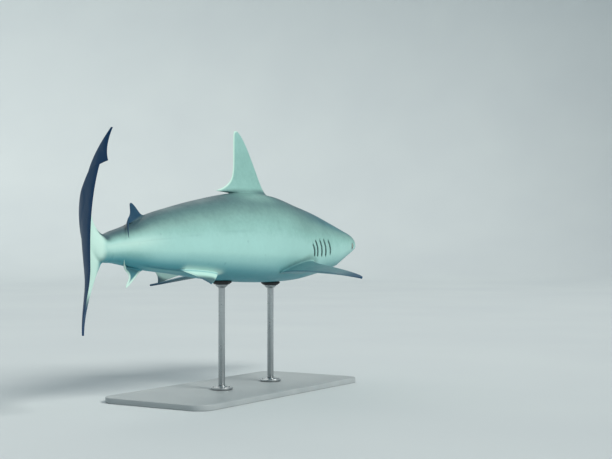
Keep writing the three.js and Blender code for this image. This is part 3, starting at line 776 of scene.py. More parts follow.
slit_heights = [round(1000 * TOTAL_LENGTH * (t - b)) for t, b in zip(GILLS["top"], GILLS["bottom"])]
print("gill slits:", slit_heights, "mm high")

# %% [markdown]
# The mouth is shut: a fine groove with a rounded lip on both sides, and a lower jaw that sits a
# little further in. A nostril is a short slot with a raised rim, half covered by a small flap of
# skin. Two shallow pits, one above and one below, cross the stem of the tail before the tail fin.

# %% Relief of the mouth, the nostrils and the pits before the tail
GROOVE = {"deep": 4.2, "wide": 1.25}  # mm
UPPER_LIP = {"high": 1.1, "away": 3.4, "wide": 2.3}
LOWER_LIP = {"high": 1.5, "away": 3.6, "wide": 2}
JAW = {"in": 1.3, "from": 3, "to": 16}
SLOT = {"deep": 4.5, "half": 1.9, "swell": 0.5, "long": 7.6, "flap": 4, "rim": 0.8, "rim_away": 3.6}
PITS = ((0.7335, 1, 3.4), (0.7265, -1, 2.2))  # where, above or below, mm deep
PIT_WIDTH = 0.0026


def mouth_relief(p):
    at, aside, level = p.T
    head = np.flatnonzero((at < 0.15) & (level < 0.005))
    away, which = nearest(p[head], mouth_line)
    away = away / mm(1)
    x = np.clip(aside[head] / ((1 - MOUTH["taper"]) * MOUTH["half_width"]), -1, 1)
    inside = np.sign(at[head] - mix(MOUTH["front"], MOUTH["corner"], x**2))
    ends = ease((0.992 - np.abs(across[which])) / 0.03)
    groove = bump(away, 0, GROOVE["wide"]) * ends
    upper_lip = UPPER_LIP["high"] * bump(away, UPPER_LIP["away"], UPPER_LIP["wide"]) * (inside < 0)
    lower_lip = LOWER_LIP["high"] * bump(away, LOWER_LIP["away"], LOWER_LIP["wide"]) * (inside > 0)
    jaw = -JAW["in"] * (1 - bump(away, 0, JAW["from"])) * bump(away, 0, JAW["to"]) * (inside > 0)
    height, hollow = np.zeros(len(p)), np.zeros(len(p))
    height[head] = ends * (upper_lip + jaw + lower_lip) - GROOVE["deep"] * groove
    hollow[head] = ease((groove - 0.2) / 0.5)
    return height, hollow


def nostril_relief(p):
    height, hollow = np.zeros(len(p)), np.zeros(len(p))
    for side, centre in nostrils.items():
        turn = math.radians(NOSTRIL["turn"]) * side
        d = (p - centre) / mm(1)
        along = side * (d[:, 1] * math.cos(turn) + d[:, 0] * math.sin(turn))
        over = d[:, 0] * math.cos(turn) - d[:, 1] * math.sin(turn)
        close = (np.linalg.norm(d, axis=1) < 13) & (p[:, 2] < 0)
        half = SLOT["half"] + SLOT["swell"] * np.sin(along / 3)
        slot = bump(over, 0, half) * ease((SLOT["long"] - np.abs(along)) / 2)
        flap = bump(along, -0.5, 2.2) * bump(over, -0.9, 1.5)
        rim = SLOT["rim"] * bump(np.abs(over), SLOT["rim_away"], 1.5) * ease((9 - np.abs(along)) / 4)
        height += close * (rim - SLOT["deep"] * slot + SLOT["flap"] * flap * slot)
        hollow = np.maximum(hollow, close * ease((slot - 0.25) / 0.5) * (1 - flap))
    return height, hollow


def pit_relief(p):
    at, _, level = p.T
    height = np.zeros(len(p))
    for pit_at, up, depth in PITS:
        floor = back_at(at) if up > 0 else belly_at(at)
        rise = (level - widest_at(at)) / (floor - widest_at(at))
        on_body = ease((1.06 - rise) / 0.05)
        height -= depth * bump(at, pit_at, PIT_WIDTH) * ease((rise - 0.35) / 0.4) * on_body
    return height


print("mouth groove:", GROOVE["deep"], "mm deep, nostrils:", SLOT["deep"], "mm deep")

# %% [markdown]
# An eyelid is a low ring round a hollow that goes in behind the eyeball, with a faint brow above.
# It goes out along the eye's own axis, not along the normals, so that the ring stays round. Then
# all the reliefs are added to the straight skin, and the fold along the keel with them.

# %% Eyelids, and all the relief together
LID = {  # mm, but "upright" is a share
    "opening": 10.0, "high": 1.5, "wide": 1.4, "dip": 2.7, "dip_wide": 13, "hollow": 9, "upright": 1.08,
}
BROW = {"high": 0.9, "away": 15, "wide": 4}
FOLD = {"deep": 1.6, "wide": 2, "clear_of_fins": mm(12)}


def eye_relief(p, side):
    """How far the skin goes out along the eye's axis, in mm, and how far inside the lids it is."""
    axis = side_normal(EYE["at"], side)
    d = (p - eyes[side]) / mm(1)
    out = d @ axis
    flat = d - out[:, None] * axis
    away = np.hypot(flat[:, 0], np.hypot(flat[:, 1], flat[:, 2]) * LID["upright"])
    close = (away < 26) & (out > 0)
    dip = -LID["dip"] * (1 - ease((away - LID["opening"]) / LID["dip_wide"]))
    lid = LID["high"] * bump(away, LID["opening"] + 1.5, LID["wide"])
    brow = BROW["high"] * bump(away, BROW["away"], BROW["wide"]) * ease(flat[:, 2] / 8)
    inside = ease((LID["opening"] + 0.2 - away) / 1.6)
    height = dip + lid + brow - LID["hollow"] * inside
    return np.where(close, height, 0), np.where(close, inside, 0), axis


skin.normal_update()
normals = np.array([v.normal for v in skin.verts])
below_crease, along_crease = under_crease(straight)
along_crease *= np.clip(nearest(straight, seam)[0] / FOLD["clear_of_fins"], 0, 1)
relief = pit_relief(straight) - FOLD["deep"] * bump(below_crease, 0, FOLD["wide"]) * along_crease
# hollow gathers the depth of the gill slits, mouth groove, nostrils and eye sockets, which the paint darkens
# as painted shade
hollow = np.zeros(len(straight))
for make in (gill_relief, mouth_relief, nostril_relief):
    height, depth = make(straight)
    relief += height
    hollow = np.maximum(hollow, depth)
shaped = straight + normals * (relief * mm(1))[:, None]
for side in SIDE_OF.values():
    height, inside, axis = eye_relief(straight, side)
    shaped += axis * (height * mm(1))[:, None]
    hollow = np.maximum(hollow, inside)
print("deepest relief:", round(float(relief.min()), 1), "mm")

# %% [markdown]
# ## Where the colours lie
# The colours of a shark follow its body: dark on the back, pale on the flank, dusky fin tips and a
# black tail, part black paint and part painted shade. Painted light lies over them too: a painted
# blue-green shade below, painted shade in the hollows and folds, and painted highlights on some edges.
# Those places are worked out once from the straight layout and kept on the mesh as attributes, which
# bend with it. The material then turns them into colour, so it never has to know where the shark
# stands. First comes what every map needs: how high on the side a point lies, from the belly at -1 to
# the ridge of the back at 1, and which fin it is on.

# %% Which part of the shark a point is on
def rising(x, start, over):
    """0 up to the start, 1 from start plus over."""
    return ease((x - start) / over)


def falling(x, end, over):
    """1 up to end minus over, 0 from the end."""
    return ease((end - x) / over)


def body_ratio(p):
    """1 on the body's outline, more outside it, as on a fin."""
    at, aside, level = p.T
    rise = level - widest_at(at)
    power = np.where(rise >= 0, BACK_SQUARENESS, BELLY_SQUARENESS)
    out = np.abs(aside / np.maximum(half_width_at(at), TINY)) ** power
    return (out + np.abs(rise / np.maximum(reach_at(at, rise), TINY)) ** power) ** (1 / power)


at, aside, level = straight.T
rise = level - widest_at(at)
up_side = rise / np.where(rise > 0, back_at(at) - widest_at(at), widest_at(at) - belly_at(at))
top_side = rising(normals[:, 2], -0.15, 0.5)  # 1 on faces that look up, 0 on those that look down
on_fin = rising(body_ratio(straight), 1.02, 0.1)
is_pectoral = on_fin * (at > 0.2) * (at < 0.4) * (level < 0.0) * (np.abs(aside) > 0.04)
is_pelvic = on_fin * (at > 0.46) * (at < 0.62) * (level < 0.0)
is_dorsal = on_fin * (at > 0.28) * (at < 0.5) * (level > 0.06)
is_second = on_fin * (at > 0.6) * (at < 0.725) * (level > 0.008) * (aside < 0.03)
is_anal = on_fin * (at > 0.6) * (at < 0.725) * (level < 0.008) * (1 - is_second)
is_tail = rising(at, 0.735, 0.02)
print("on the tail fin:", int((is_tail > 0.5).sum()), "vertices")

# %% [markdown]
# Fins are painted from their edges inward, so each map of a fin starts from the distance to an
# edge. The edges come from the same plans that made the fins.

# %% Edges of the fins
def trailing_edge(plan, t, flex=None):
    _, trail, _, _ = plan(t)
    return flex(trail) if flex else trail


def margin(edge, width, soft, only):
    """1 along a fin's edge and 0 further in than width plus soft, in mm."""
    return (1 - ease((nearest(straight, edge)[0] / mm(1) - width) / soft)) * only


def margins(edges, width, soft, only):
    """The same along both fins of a pair."""
    return np.maximum(*(margin(edges[side], width, soft, only * (aside * side > 0)) for side in edges))


def tip_share(fin):
    """How far out towards the tip of a fin of a pair a point lies, from 0 to 1."""
    return np.clip((np.abs(aside) - fin["root_out"]) / (fin["tip_out"] - fin["root_out"]), 0, 1)


fin_t = np.linspace(0.02, 1, 240)
tail_share = np.linspace(0.001, 0.998, 700)
tail_front, tail_edge, _, _ = tail_plan(tail_share)
dorsal_edge = trailing_edge(midline_plan(FIRST_DORSAL), fin_t)
second_edge = trailing_edge(midline_plan(SECOND_DORSAL), fin_t, second_lag)
anal_edge = trailing_edge(midline_plan(ANAL), fin_t, anal_lag)
anal_front = midline_plan(ANAL)(fin_t)[0]
pectoral_edges = {side: trailing_edge(paired_plan(PECTORAL, side), fin_t) for side in SIDE_OF.values()}
pelvic_edges = {side: trailing_edge(paired_plan(PELVIC, side), fin_t) for side in SIDE_OF.values()}
on_pectoral, on_pelvic = tip_share(PECTORAL), tip_share(PELVIC)
from_seam, seam_point = nearest(straight, seam)
from_seam /= mm(1)
over_root = ease((level - seam[seam_point, 2]) / mm(8) + 0.7)  # above a fin's root, not under it
print("furthest from a fin's root:", round(float(from_seam.max())), "mm")

# %% [markdown]
# The tone is one number, from pale at 0 to dark at 1. The body is counter-shaded: the back is dark
# and the belly pale, so that the light from above is cancelled and the fish is hard to see. Low on the
# belly and on the underside of the stem the tone turns darker again: that is painted shade. Where the
# bands would all meet at the tip of the snout, they run out into one even tone.

# %% Tone of the body
# the darker tones at the lowest heights, in both tables, are painted shade under the body
FLANK_TONES = ((-1, 0.38), (-0.8, 0.26), (-0.5, 0.02), (-0.2, 0.0), (0.05, 0.08), (0.3, 0.27), (0.55, 0.46),
               (0.8, 0.74), (1, 0.95))  # height on the side, tone
STEM_TONES = ((-1, 0.5), (-0.5, 0.38), (-0.1, 0.04), (0.3, 0.12), (0.6, 0.5), (0.8, 0.88), (1, 1.1))


def banded(value, stops):
    return np.interp(value, *zip(*stops))


on_head = 1 - rising(at, 0.17, 0.08)
stem = rising(at, 0.6, 0.08)
keel = along_crease * ease((below_crease + 1) / 3) * ease((7.5 - below_crease) / 3)
on_snout = 1 - rising(at, 0.002, 0.035)

shade = banded(up_side, FLANK_TONES)
shade -= 0.4 * bump(at, 0.37, 0.05) * rising(up_side, 0.75, 0.2)  # paler on the back beside the first dorsal fin
shade += on_head * (0.12 + 0.22 * rising(up_side, 0.45, 0.4))  # the head is a little darker all over
shade += 0.06 * bump(up_side, -0.42, 0.12) * rising(at, 0.26, 0.08) * falling(at, 0.62, 0.1)  # low band
shade += 0.14 * bump(at, 0.26, 0.05) * rising(up_side, -0.1, 0.4)  # shoulder
shade = mix(shade, banded(up_side, STEM_TONES), stem)
shade += along_crease * 1.1 * bump(below_crease, 0, 2) - 0.2 * keel  # painted shade in the fold, pale keel under it
shade = mix(shade, 0.2 + 0.25 * rising(level, -0.004, 0.016), on_snout)
print("tone of the body:", shade.min().round(2), "to", shade.max().round(2))

# %% [markdown]
# A thin fin is seen from above and from below, and its two faces differ; the underside of a pectoral
# fin is darkened with painted shade. The body gets painted shade round the root of a pectoral fin,
# where the wing shields it. The pelvic fins are the other way round: the top of their base and the skin
# above it get a painted highlight, and only their rear corner is dusky.

# %% Tone of the fins
DORSAL_TONES = ((0.095, 0.26), (0.13, 0.36), (0.17, 0.32), (0.2, 0.26))  # level, tone
SECOND_DORSAL_TONE, ANAL_TONE = 1.0, 1.1

shade = mix(shade, banded(level, DORSAL_TONES), is_dorsal)
shade = mix(shade, SECOND_DORSAL_TONE, is_second)
shade = mix(shade, ANAL_TONE, is_anal)
# the underside of the wing is darkened with painted shade
wing_above, wing_below = mix(0.9, 1.05, on_pectoral), 0.6 + 0.3 * on_pectoral**3
shade = mix(shade, mix(wing_below, wing_above, top_side), is_pectoral)

behind_front = rising(at, 0.232, 0.05)
# painted shade on the body round the root of a pectoral fin
ring = bump(from_seam, 0, mix(20, 10, behind_front)) * over_root * (at > 0.2) * (at < 0.36) * (level < 0)
shade += mix(0.5, 0.85, behind_front) * ring * (1 - 0.3 * is_pectoral)

# glow is a painted highlight on the skin just above the root of a pelvic fin
glow = bump(from_seam, 0, 12) * over_root * (at > 0.45) * (at < 0.6) * (level < -0.01) * (1 - is_pelvic)
shade = mix(shade, 0.05, 0.8 * glow)
pelvic_dusk = ease((on_pelvic - mix(0.55, 0.2, rising(at, 0.5, 0.07))) / 0.35)
# the top of a pelvic fin near its base stays pale as painted highlight
pelvic_above, pelvic_below = mix(0.0, 0.9, pelvic_dusk), 0.2 + 0.3 * on_pelvic
shade = mix(shade, mix(pelvic_below, pelvic_above, top_side), is_pelvic)
print("dusky pelvic corner:", int((is_pelvic * pelvic_dusk > 0.5).sum()), "vertices")

# %% [markdown]
# The tail fin is nearly black. Its broad black rear margin is the shark's own; over the rest of both
# faces the dark is painted shade. A field round its root and down the front of its lower lobe stays
# pale, where the white of the stem runs out onto it, and is brightened with painted highlight. The pale
# over the fold of its right face is painted highlight only.

# %% Tone of the tail fin
TAIL_TONE = 1.35
front_away = nearest(straight, tail_front)[0] / mm(1)
pale_root = 1.4 * bump(at, 0.745, 0.03) * bump(level, 0.005, 0.05)
pale_front = falling(front_away, 37, 22) * rising(level, -0.088, 0.03) * (level < 0.02)
right_face = ease((-aside / mm(1) + 1) / 2)
# painted highlight on the right face only, where the light falls on it
painted_highlight_right_face = right_face * falling(level, 0.082, 0.03) * rising(level, -0.09, 0.03) * falling(at, 0.8, 0.02)
pale_and_painted_light_field = np.maximum(np.clip(np.maximum(pale_root, pale_front), 0, 1), painted_highlight_right_face)
shade = mix(shade, mix(TAIL_TONE, 0.0, pale_and_painted_light_field), is_tail**2)
shade += 0.25 * bump(at, 0.731, 0.004) * rising(up_side, 0.35, 0.4) * (1 - is_tail)  # painted shade in the upper pit
print("pale on the tail fin:", int((is_tail * pale_and_painted_light_field > 0.5).sum()), "vertices")

# %% [markdown]
# Three more maps lie over the tone, as thin coats do. A painted blue-green shade covers the
# underside and the undersides of the fins, and a little of it, as painted blue light, the top of the
# head. Black goes along the rear edges of the fins and on their tips, and over the rest of the tail
# as painted shade. White paint goes on the rear edge of the first dorsal fin; elsewhere white is a
# painted highlight: on the edges of the anal fin, the top of the pelvic fins and the skin above their
# roots, the root of the tail and a band along the stem.

# %% Glaze, black and white
PAINTED_BLUE_SHADE = ((-1, 1), (-0.75, 0.8), (-0.5, 0.3), (-0.25, 0))  # height on the side, amount
TAIL_BLACK_AND_SHADE = 0.88

# painted blue-green shade on the underside and under the fins, and a little painted blue light on top of the
# head and on the pectoral and anal fins
painted_blue_light_and_shade = banded(up_side, PAINTED_BLUE_SHADE) * (1 - 0.3 * on_head)
painted_blue_light_and_shade = np.maximum(painted_blue_light_and_shade, 0.28 * (1 - rising(at, 0.12, 0.16)) * rising(up_side, 0.4, 0.4))
painted_blue_light_and_shade = mix(painted_blue_light_and_shade, 0.3 * falling(level, 0.004, 0.016), on_snout)
painted_blue_light_and_shade *= 1 - 0.35 * keel
painted_blue_light_and_shade = mix(painted_blue_light_and_shade, mix(0.8, 0.3, top_side), is_pectoral)
painted_blue_light_and_shade = mix(painted_blue_light_and_shade, 0.3, 0.8 * is_anal)
painted_blue_light_and_shade = mix(painted_blue_light_and_shade, mix(0.7, 0.0, top_side), is_pelvic)
painted_blue_light_and_shade *= (1 - 0.5 * ring * (1 - is_pectoral)) * (1 - 0.8 * glow)
painted_blue_light_and_shade *= (1 - is_tail) * (1 - is_dorsal) * (1 - is_second)

# black paint on the fins' rear margins and tips; over the rest of the tail it is painted shade, in a dark
# blue
black_and_painted_shade = np.maximum.reduce([
    margin(tail_edge, 10, 40, is_tail) * (1 - 0.9 * pale_and_painted_light_field),
    TAIL_BLACK_AND_SHADE * is_tail * (1 - pale_and_painted_light_field),
    is_tail * falling(level, -0.08, 0.035),  # lower tip
    0.85 * is_tail * rising(level, 0.115, 0.04),  # upper tip
    0.45 * margins(pectoral_edges, 2, 7, is_pectoral),
    0.85 * is_pectoral * rising(on_pectoral, 0.55, 0.45),
    0.4 * margins(pelvic_edges, 2, 8, is_pelvic),
    0.6 * margin(second_edge, 5, 12, is_second),
    0.62 * is_second,
])
# only the first dorsal fin's white rear margin is white paint; the rest is painted highlight: the edges of
# the anal fin, the top of the pelvic fins, the skin above their roots, the pale field of the tail and a band
# along the stem
white_and_painted_highlight = np.maximum.reduce([
    0.85 * margin(dorsal_edge, 2.2, 4, is_dorsal),
    0.5 * is_pelvic * (1 - pelvic_dusk) * top_side,
    0.85 * margin(anal_edge, 2.5, 4, is_anal),
    0.9 * margin(anal_front, 5, 5, is_anal),
    0.7 * is_tail * pale_and_painted_light_field,
    0.65 * glow,
    0.4 * stem * bump(up_side, 0.1, 0.25) * (1 - is_tail),
])
lateral_level = np.interp(at, [0.15, 0.3, 0.5, 0.74], [0.022, 0.034, 0.026, 0.004])
lateral = bump(level, lateral_level, mm(1.2)) * rising(at, 0.16, 0.03) * falling(at, 0.75, 0.02)
lateral *= 1 - on_fin
print("black:", int((black_and_painted_shade > 0.5).sum()), "vertices, white:", int((white_and_painted_highlight > 0.5).sum()), "vertices")

# %% [markdown]
# Now the straight skin takes its pose. Each vertex keeps its maps, and its straight place in metres
# too, so that patterns in the paint have their real size and don't stretch in the bend.

# %% Bend the skin and keep the maps
def keep(mesh, name, values, kind="FLOAT"):
    """Keeps one number, or one vector, for each vertex."""
    layer = mesh.attributes.new(name, kind, "POINT")
    layer.data.foreach_set("value" if kind == "FLOAT" else "vector", np.asarray(values, np.float32).ravel())


write(skin, pose(shaped))
bmesh.ops.recalc_face_normals(skin, faces=skin.faces)
for face in skin.faces:
    face.material_index = 0
    face.smooth = True
skin.to_mesh(shark.data)
skin.free()
keep(shark.data, "straight", straight * TOTAL_LENGTH, "FLOAT_VECTOR")
maps = {"shade": shade, "painted_blue_light_and_shade": painted_blue_light_and_shade, "black_and_painted_shade": black_and_painted_shade, "white_and_painted_highlight": white_and_painted_highlight, "hollow": hollow, "lateral": lateral}
for name, values in maps.items():
    keep(shark.data, name, values)
shark.data.materials.clear()
for mark in marks:
    bpy.data.materials.remove(mark)
print("skin:", sum(len(p.vertices) - 2 for p in shark.data.polygons), "triangles")

# %% [markdown]
# ## Painted skin
# Museum skins are cast in glass-fibre resin and sprayed by hand, from the back down, with thin
# acrylics under a satin varnish. To the eye that gives soft changes of tone, a dull, broad
# highlight, and a fine sandy grain, because a shark's skin is covered in tiny tooth-like scales.
# Real scales are 0.3 mm across. They are drawn 1.5 mm across, so that they can be seen at all.

# %% Node helper and colours
def linear(hex_colour):
    """An sRGB hex colour as linear red, green, blue and alpha."""
    parts = [int(hex_colour[i : i + 2], 16) / 255 for i in (1, 3, 5)]
    return [c / 12.92 if c <= 0.04045 else ((c + 0.055) / 1.055) ** 2.4 for c in parts] + [1.0]


def node(tree, kind, inputs=(), output=0, stops=(), **settings):
    """Adds a node and gives one output. An input is a number, a hex colour, or an output to link."""
    made = tree.nodes.new("ShaderNode" + kind)
    for name, value in settings.items():
        setattr(made, name, value)
    for position, colour in stops[2:]:
        made.color_ramp.elements.new(position)
    for stop, (position, colour) in zip(made.color_ramp.elements if stops else (), stops):
        stop.position, stop.color = position, linear(colour)
    for name, value in dict(inputs).items():
        if isinstance(value, bpy.types.NodeSocket):
            tree.links.new(value, made.inputs[name])
        else:
            made.inputs[name].default_value = linear(value) if isinstance(value, str) else value
    return made.outputs[output] if made.outputs else None


def new_material(name):
    made = bpy.data.materials.new(name)
    made.use_nodes = True
    made.node_tree.nodes.clear()
    return made, made.node_tree


def per_mm(size):
    """The scale of a pattern whose features are this many millimetres apart."""
    return 1000 / size


def spread(value, low, high):
    """Settings of a Map Range node that spreads a noise, which keeps near its middle, from low to high."""
    return {"Value": value, "From Min": 0.3, "From Max": 0.7, "To Min": low, "To Max": high}


print("mid grey is", round(linear("#808080")[0], 3), "in linear light")

# %% [markdown]
# The tone of the skin is one number, from pale to dark, and one colour ramp turns it into paint.
# Three noises are added to the tone first: clouds as wide as a hand, where the sprayer overlapped,
# a mottle as wide as a finger, and specks. The faint spots, the lateral line, the painted blue-green
# shade and light, the black with its painted shade on the tail, the white with its painted highlights,
# and painted shade, near black, in the gill slits, the mouth groove, the nostrils and the eye sockets
# are then laid over it, one by one.

# %% Paint
SKIN_COLOURS = [  # tone, paint
    (0.0, "#a6d4cf"), (0.16, "#a0cdc8"), (0.34, "#8ebbb5"), (0.55, "#789f9b"), (0.78, "#5d8081"),
    (1.0, "#445f67"),
]
NOISES = {  # size in mm, detail
    "clouds": (60, 4), "mottle": (11, 3), "specks": (2.2, 2), "folds": (6, 5), "patches": (120, 2),
}
TONE_SWING = {"clouds": 0.045, "mottle": 0.03, "specks": 0.02}
SPOT_SPACING = 34  # mm

skin_paint, tree = new_material("satin_acrylic_over_resin_skin")
kept = {name: node(tree, "Attribute", attribute_name=name, output="Fac") for name in maps}
where = node(tree, "Attribute", attribute_name="straight", output="Vector")
noises = {}
for name, (size, detail) in NOISES.items():
    pattern = {"Vector": where, "Scale": per_mm(size), "Detail": detail, "Roughness": 0.55}
    noises[name] = node(tree, "TexNoise", pattern, "Fac")
tone = kept["shade"]
for name, swing in TONE_SWING.items():
    swung = node(tree, "MapRange", spread(noises[name], -swing, swing))
    tone = node(tree, "Math", {0: tone, 1: swung}, operation="ADD")
skin_colour = node(tree, "ValToRGB", {"Fac": tone}, stops=SKIN_COLOURS)

cells = node(tree, "TexVoronoi", {"Vector": where, "Scale": per_mm(SPOT_SPACING)}, "Distance")
dots = node(tree, "MapRange", {"Value": cells, "From Min": 0.17, "From Max": 0.05, "To Max": 0.4})
patches = node(tree, "MapRange", {"Value": noises["patches"], "From Min": 0.5, "From Max": 0.64})
spots = node(tree, "Math", {0: dots, 1: patches}, operation="MULTIPLY")
line = node(tree, "Math", {0: kept["lateral"], 1: 0.1}, operation="MULTIPLY")
# the coats: blue-green painted shade and light, black paint that is painted shade over the tail, white paint
# and painted highlights, and near-black painted shade in the recesses
for amount, coat in (
    (spots, "#567a80"), (line, "#4e7078"), (kept["painted_blue_light_and_shade"], "#4a9ba8"), (kept["black_and_painted_shade"], "#053b63"),
    (kept["white_and_painted_highlight"], "#d6f4e8"), (kept["hollow"], "#15232b"),
):
    skin_colour = node(tree, "Mix", {0: amount, 6: skin_colour, 7: coat}, output=2, data_type="RGBA")
print("paint:", len(tree.nodes), "nodes so far")

# %% [markdown]
# The relief of the surface is four bumps, one on another: the scales, the fine folds of the hide,
# the faint swell of the muscle blocks beneath it, and the lateral line, a row of pores along the
# flank. The varnish is a little uneven, so its roughness follows the clouds. The black paint is
# flatter than the rest and gives hardly any sheen, or the tail would look grey against the light.

# %% Relief and varnish
SCALE_SPACING = 1.5  # mm
BUMPS = (("folds", 0.3, 0.0006), ("clouds", 0.2, 0.004), ("lateral", 0.2, 0.001))  # strength, metres

scales = node(tree, "TexVoronoi", {"Vector": where, "Scale": per_mm(SCALE_SPACING)}, "Distance")
surface = node(tree, "Bump", {"Height": scales, "Strength": 0.25, "Distance": 0.0003}, "Normal")
for name, strength, distance in BUMPS:
    height = {**kept, **noises}[name]
    swell = {"Height": height, "Strength": strength, "Distance": distance, "Normal": surface}
    surface = node(tree, "Bump", swell, "Normal")
shader = node(tree, "BsdfPrincipled", {
    "Base Color": skin_colour, "Normal": surface, "IOR": 1.45, "Coat Weight": 0.04, "Coat Roughness": 0.3,
    "Roughness": node(tree, "MapRange", spread(noises["clouds"], 0.42, 0.55)),
    "Specular IOR Level": node(tree, "MapRange", {"Value": kept["black_and_painted_shade"], "To Min": 0.3, "To Max": 0.05}),
})
node(tree, "OutputMaterial", {"Surface": shader})
shark.data.materials.append(skin_paint)
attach(shark, "root")
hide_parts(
    "head", "trunk", "tail", "peduncle", "first_dorsal_fin", "second_dorsal_fin", "anal_fin",
    "pectoral_fin_left", "pectoral_fin_right", "pelvic_fin_left", "pelvic_fin_right",
    "caudal_fin_lower_lobe", "caudal_fin_upper_lobe",
)
print("skin material:", len(tree.nodes), "nodes")

# %% [markdown]
# ## Eyes
# A museum eye is a glass ball, painted from behind. The pupil of this shark is an upright oval in
# a pale, metallic iris with fine radial streaks, and the rim of the iris is dark. The material
# draws them from each point's place as seen from in front, so the eye needs no image. Clear glass
# gives the eye its sharp, small highlight, which is what makes it look alive.

# %% Eye material
OVAL = (4.6, 2.5, 0)  # one over the pupil's half width and half height, in radii of the ball
eye_glass, tree = new_material("painted_glass_eye")
seen = node(tree, "Attribute", attribute_name="seen", output="Vector")
away = node(tree, "VectorMath", {0: seen}, output="Value", operation="LENGTH")
squeezed = node(tree, "VectorMath", {0: seen, 1: OVAL}, operation="MULTIPLY")
oval = node(tree, "VectorMath", {0: squeezed}, output="Value", operation="LENGTH")
rays = node(tree, "VectorMath", {0: seen}, operation="NORMALIZE")
streaks = node(tree, "TexNoise", {"Vector": rays, "Scale": 9.0, "Detail": 4.0}, "Fac")
iris_colours = [(0.3, "#6f7a70"), (0.5, "#9aa59a"), (0.72, "#c3cabd")]
eye_colour = node(tree, "ValToRGB", {"Fac": streaks}, stops=iris_colours)
iris_rim = node(tree, "MapRange", {"Value": away, "From Min": 0.5, "From Max": 0.68})
pupil = node(tree, "MapRange", {"Value": oval, "From Min": 1.08, "From Max": 0.94})
for amount, paint in ((iris_rim, "#1d262b"), (pupil, "#050608")):
    eye_colour = node(tree, "Mix", {0: amount, 6: eye_colour, 7: paint}, output=2, data_type="RGBA")
glass = {"Base Color": eye_colour, "Roughness": 0.08, "IOR": 1.52, "Coat Weight": 1.0, "Coat Roughness": 0.02}
node(tree, "OutputMaterial", {"Surface": node(tree, "BsdfPrincipled", glass)})
print("eye material:", len(tree.nodes), "nodes")

# %% [markdown]
# The ball is a UV sphere. It is turned so that its pole looks out along the eye's axis, because its
# rings then run round the pupil, and set in the lids in the posed skin.

# %% Eyeballs
for word, side in SIDE_OF.items():
    ball = bmesh.new()
    bmesh.ops.create_uvsphere(ball, u_segments=48, v_segments=32, radius=1)
    seen_at = read(ball) * [1, 1, 0]
    centre = pose([eyes[side]])[0]
    ahead = pose([eyes[side] + side_normal(EYE["at"], side) * 0.001])[0]
    turned_out = Vector(ahead - centre).to_track_quat("Z", "Y").to_matrix().to_4x4()
    bmesh.ops.scale(ball, vec=[EYE["radius"] * TOTAL_LENGTH] * 3, verts=ball.verts)
    bmesh.ops.transform(ball, matrix=turned_out, verts=ball.verts)
    bmesh.ops.translate(ball, vec=centre, verts=ball.verts)
    for face in ball.faces:
        face.smooth = True
    eyeball = to_object("eyeball_" + word, ball)
    keep(eyeball.data, "seen", seen_at, "FLOAT_VECTOR")
    eyeball.data.materials.append(eye_glass)
    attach(eyeball, "root")
    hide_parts("eye_" + word)
print("eyeballs:", round(2000 * EYE["radius"] * TOTAL_LENGTH, 1), "mm across")

# %% [markdown]
# ## The display stand
# A museum model of this weight stands on two steel rods, screwed to a heavy plate, and rests on
# rubber pads shaped to its belly. Rods, flanges, collars and pads are all turned pieces: half an
# outline, spun once round an upright axis. Their edges are broken with a small bevel, as on any
# real metal piece, because a perfectly sharp edge catches no light and looks like paper.

# %% Turned pieces
SHARP_TURN = 0.5  # radians between two faces, above which their edge is broken
SHARP_SHADING = 32  # degrees between two faces, above which they are shaded apart


def turned(outline, steps=64):
    """A closed round piece from (radius, height) points in mm, spun round the upright axis."""
    bm = bmesh.new()
    corners = [bm.verts.new((r / 1000, 0, z / 1000)) for r, z in outline]
    lines = [bm.edges.new(pair) for pair in zip(corners, corners[1:])]
    spun = {"axis": (0, 0, 1), "cent": (0, 0, 0), "angle": 2 * math.pi, "steps": steps, "use_merge": True}
    bmesh.ops.spin(bm, geom=corners + lines, **spun)
    bmesh.ops.remove_doubles(bm, verts=bm.verts, dist=1e-6)
    bmesh.ops.recalc_face_normals(bm, faces=bm.faces)
    return bm


def round_over(bm, edges, width, segments):
    """Bevels the edges. The width is in mm."""
    shape = {"segments": segments, "profile": 0.5, "affect": "EDGES", "material": -1}
    bmesh.ops.bevel(bm, geom=edges, offset=width / 1000, **shape)


def soften(bm, width, segments=2, angle=SHARP_TURN):
    """Rounds over every edge that turns more than the angle, in radians."""
    round_over(bm, [e for e in bm.edges if e.calc_face_angle(0) > angle], width, segments)


def uppermost(bm):
    return max(bm.faces, key=lambda face: face.calc_center_median().z)


def display_piece(name, bm, place, material, slot, *nodes):
    """Puts a finished piece of the stand in its place, in metres, in the place of CAD nodes."""
    radius = np.linalg.norm(read(bm)[:, :2], axis=1)
    bmesh.ops.translate(bm, vec=place, verts=bm.verts)
    height = read(bm)[:, 2]
    for face in bm.faces:
        face.smooth = True
    made = to_object(name, bm)
    made.data.set_sharp_from_angle(angle=math.radians(SHARP_SHADING))
    keep(made.data, "turned", columns(radius, 0, height), "FLOAT_VECTOR")
    made.data.materials.append(material)
    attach(made, "root")
    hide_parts(*nodes)


# %% [markdown]
# Three finishes. The base is steel, blasted and powder coated in pale grey: satin, with the fine
# orange peel that baked powder has. Rods, flanges and screws are stainless steel, brushed on a
# lathe, so the scratches run round the piece: the noise is read from each point's distance to the
# axis and its height. The pads are moulded rubber, matt and nearly black, with dust in the grain.

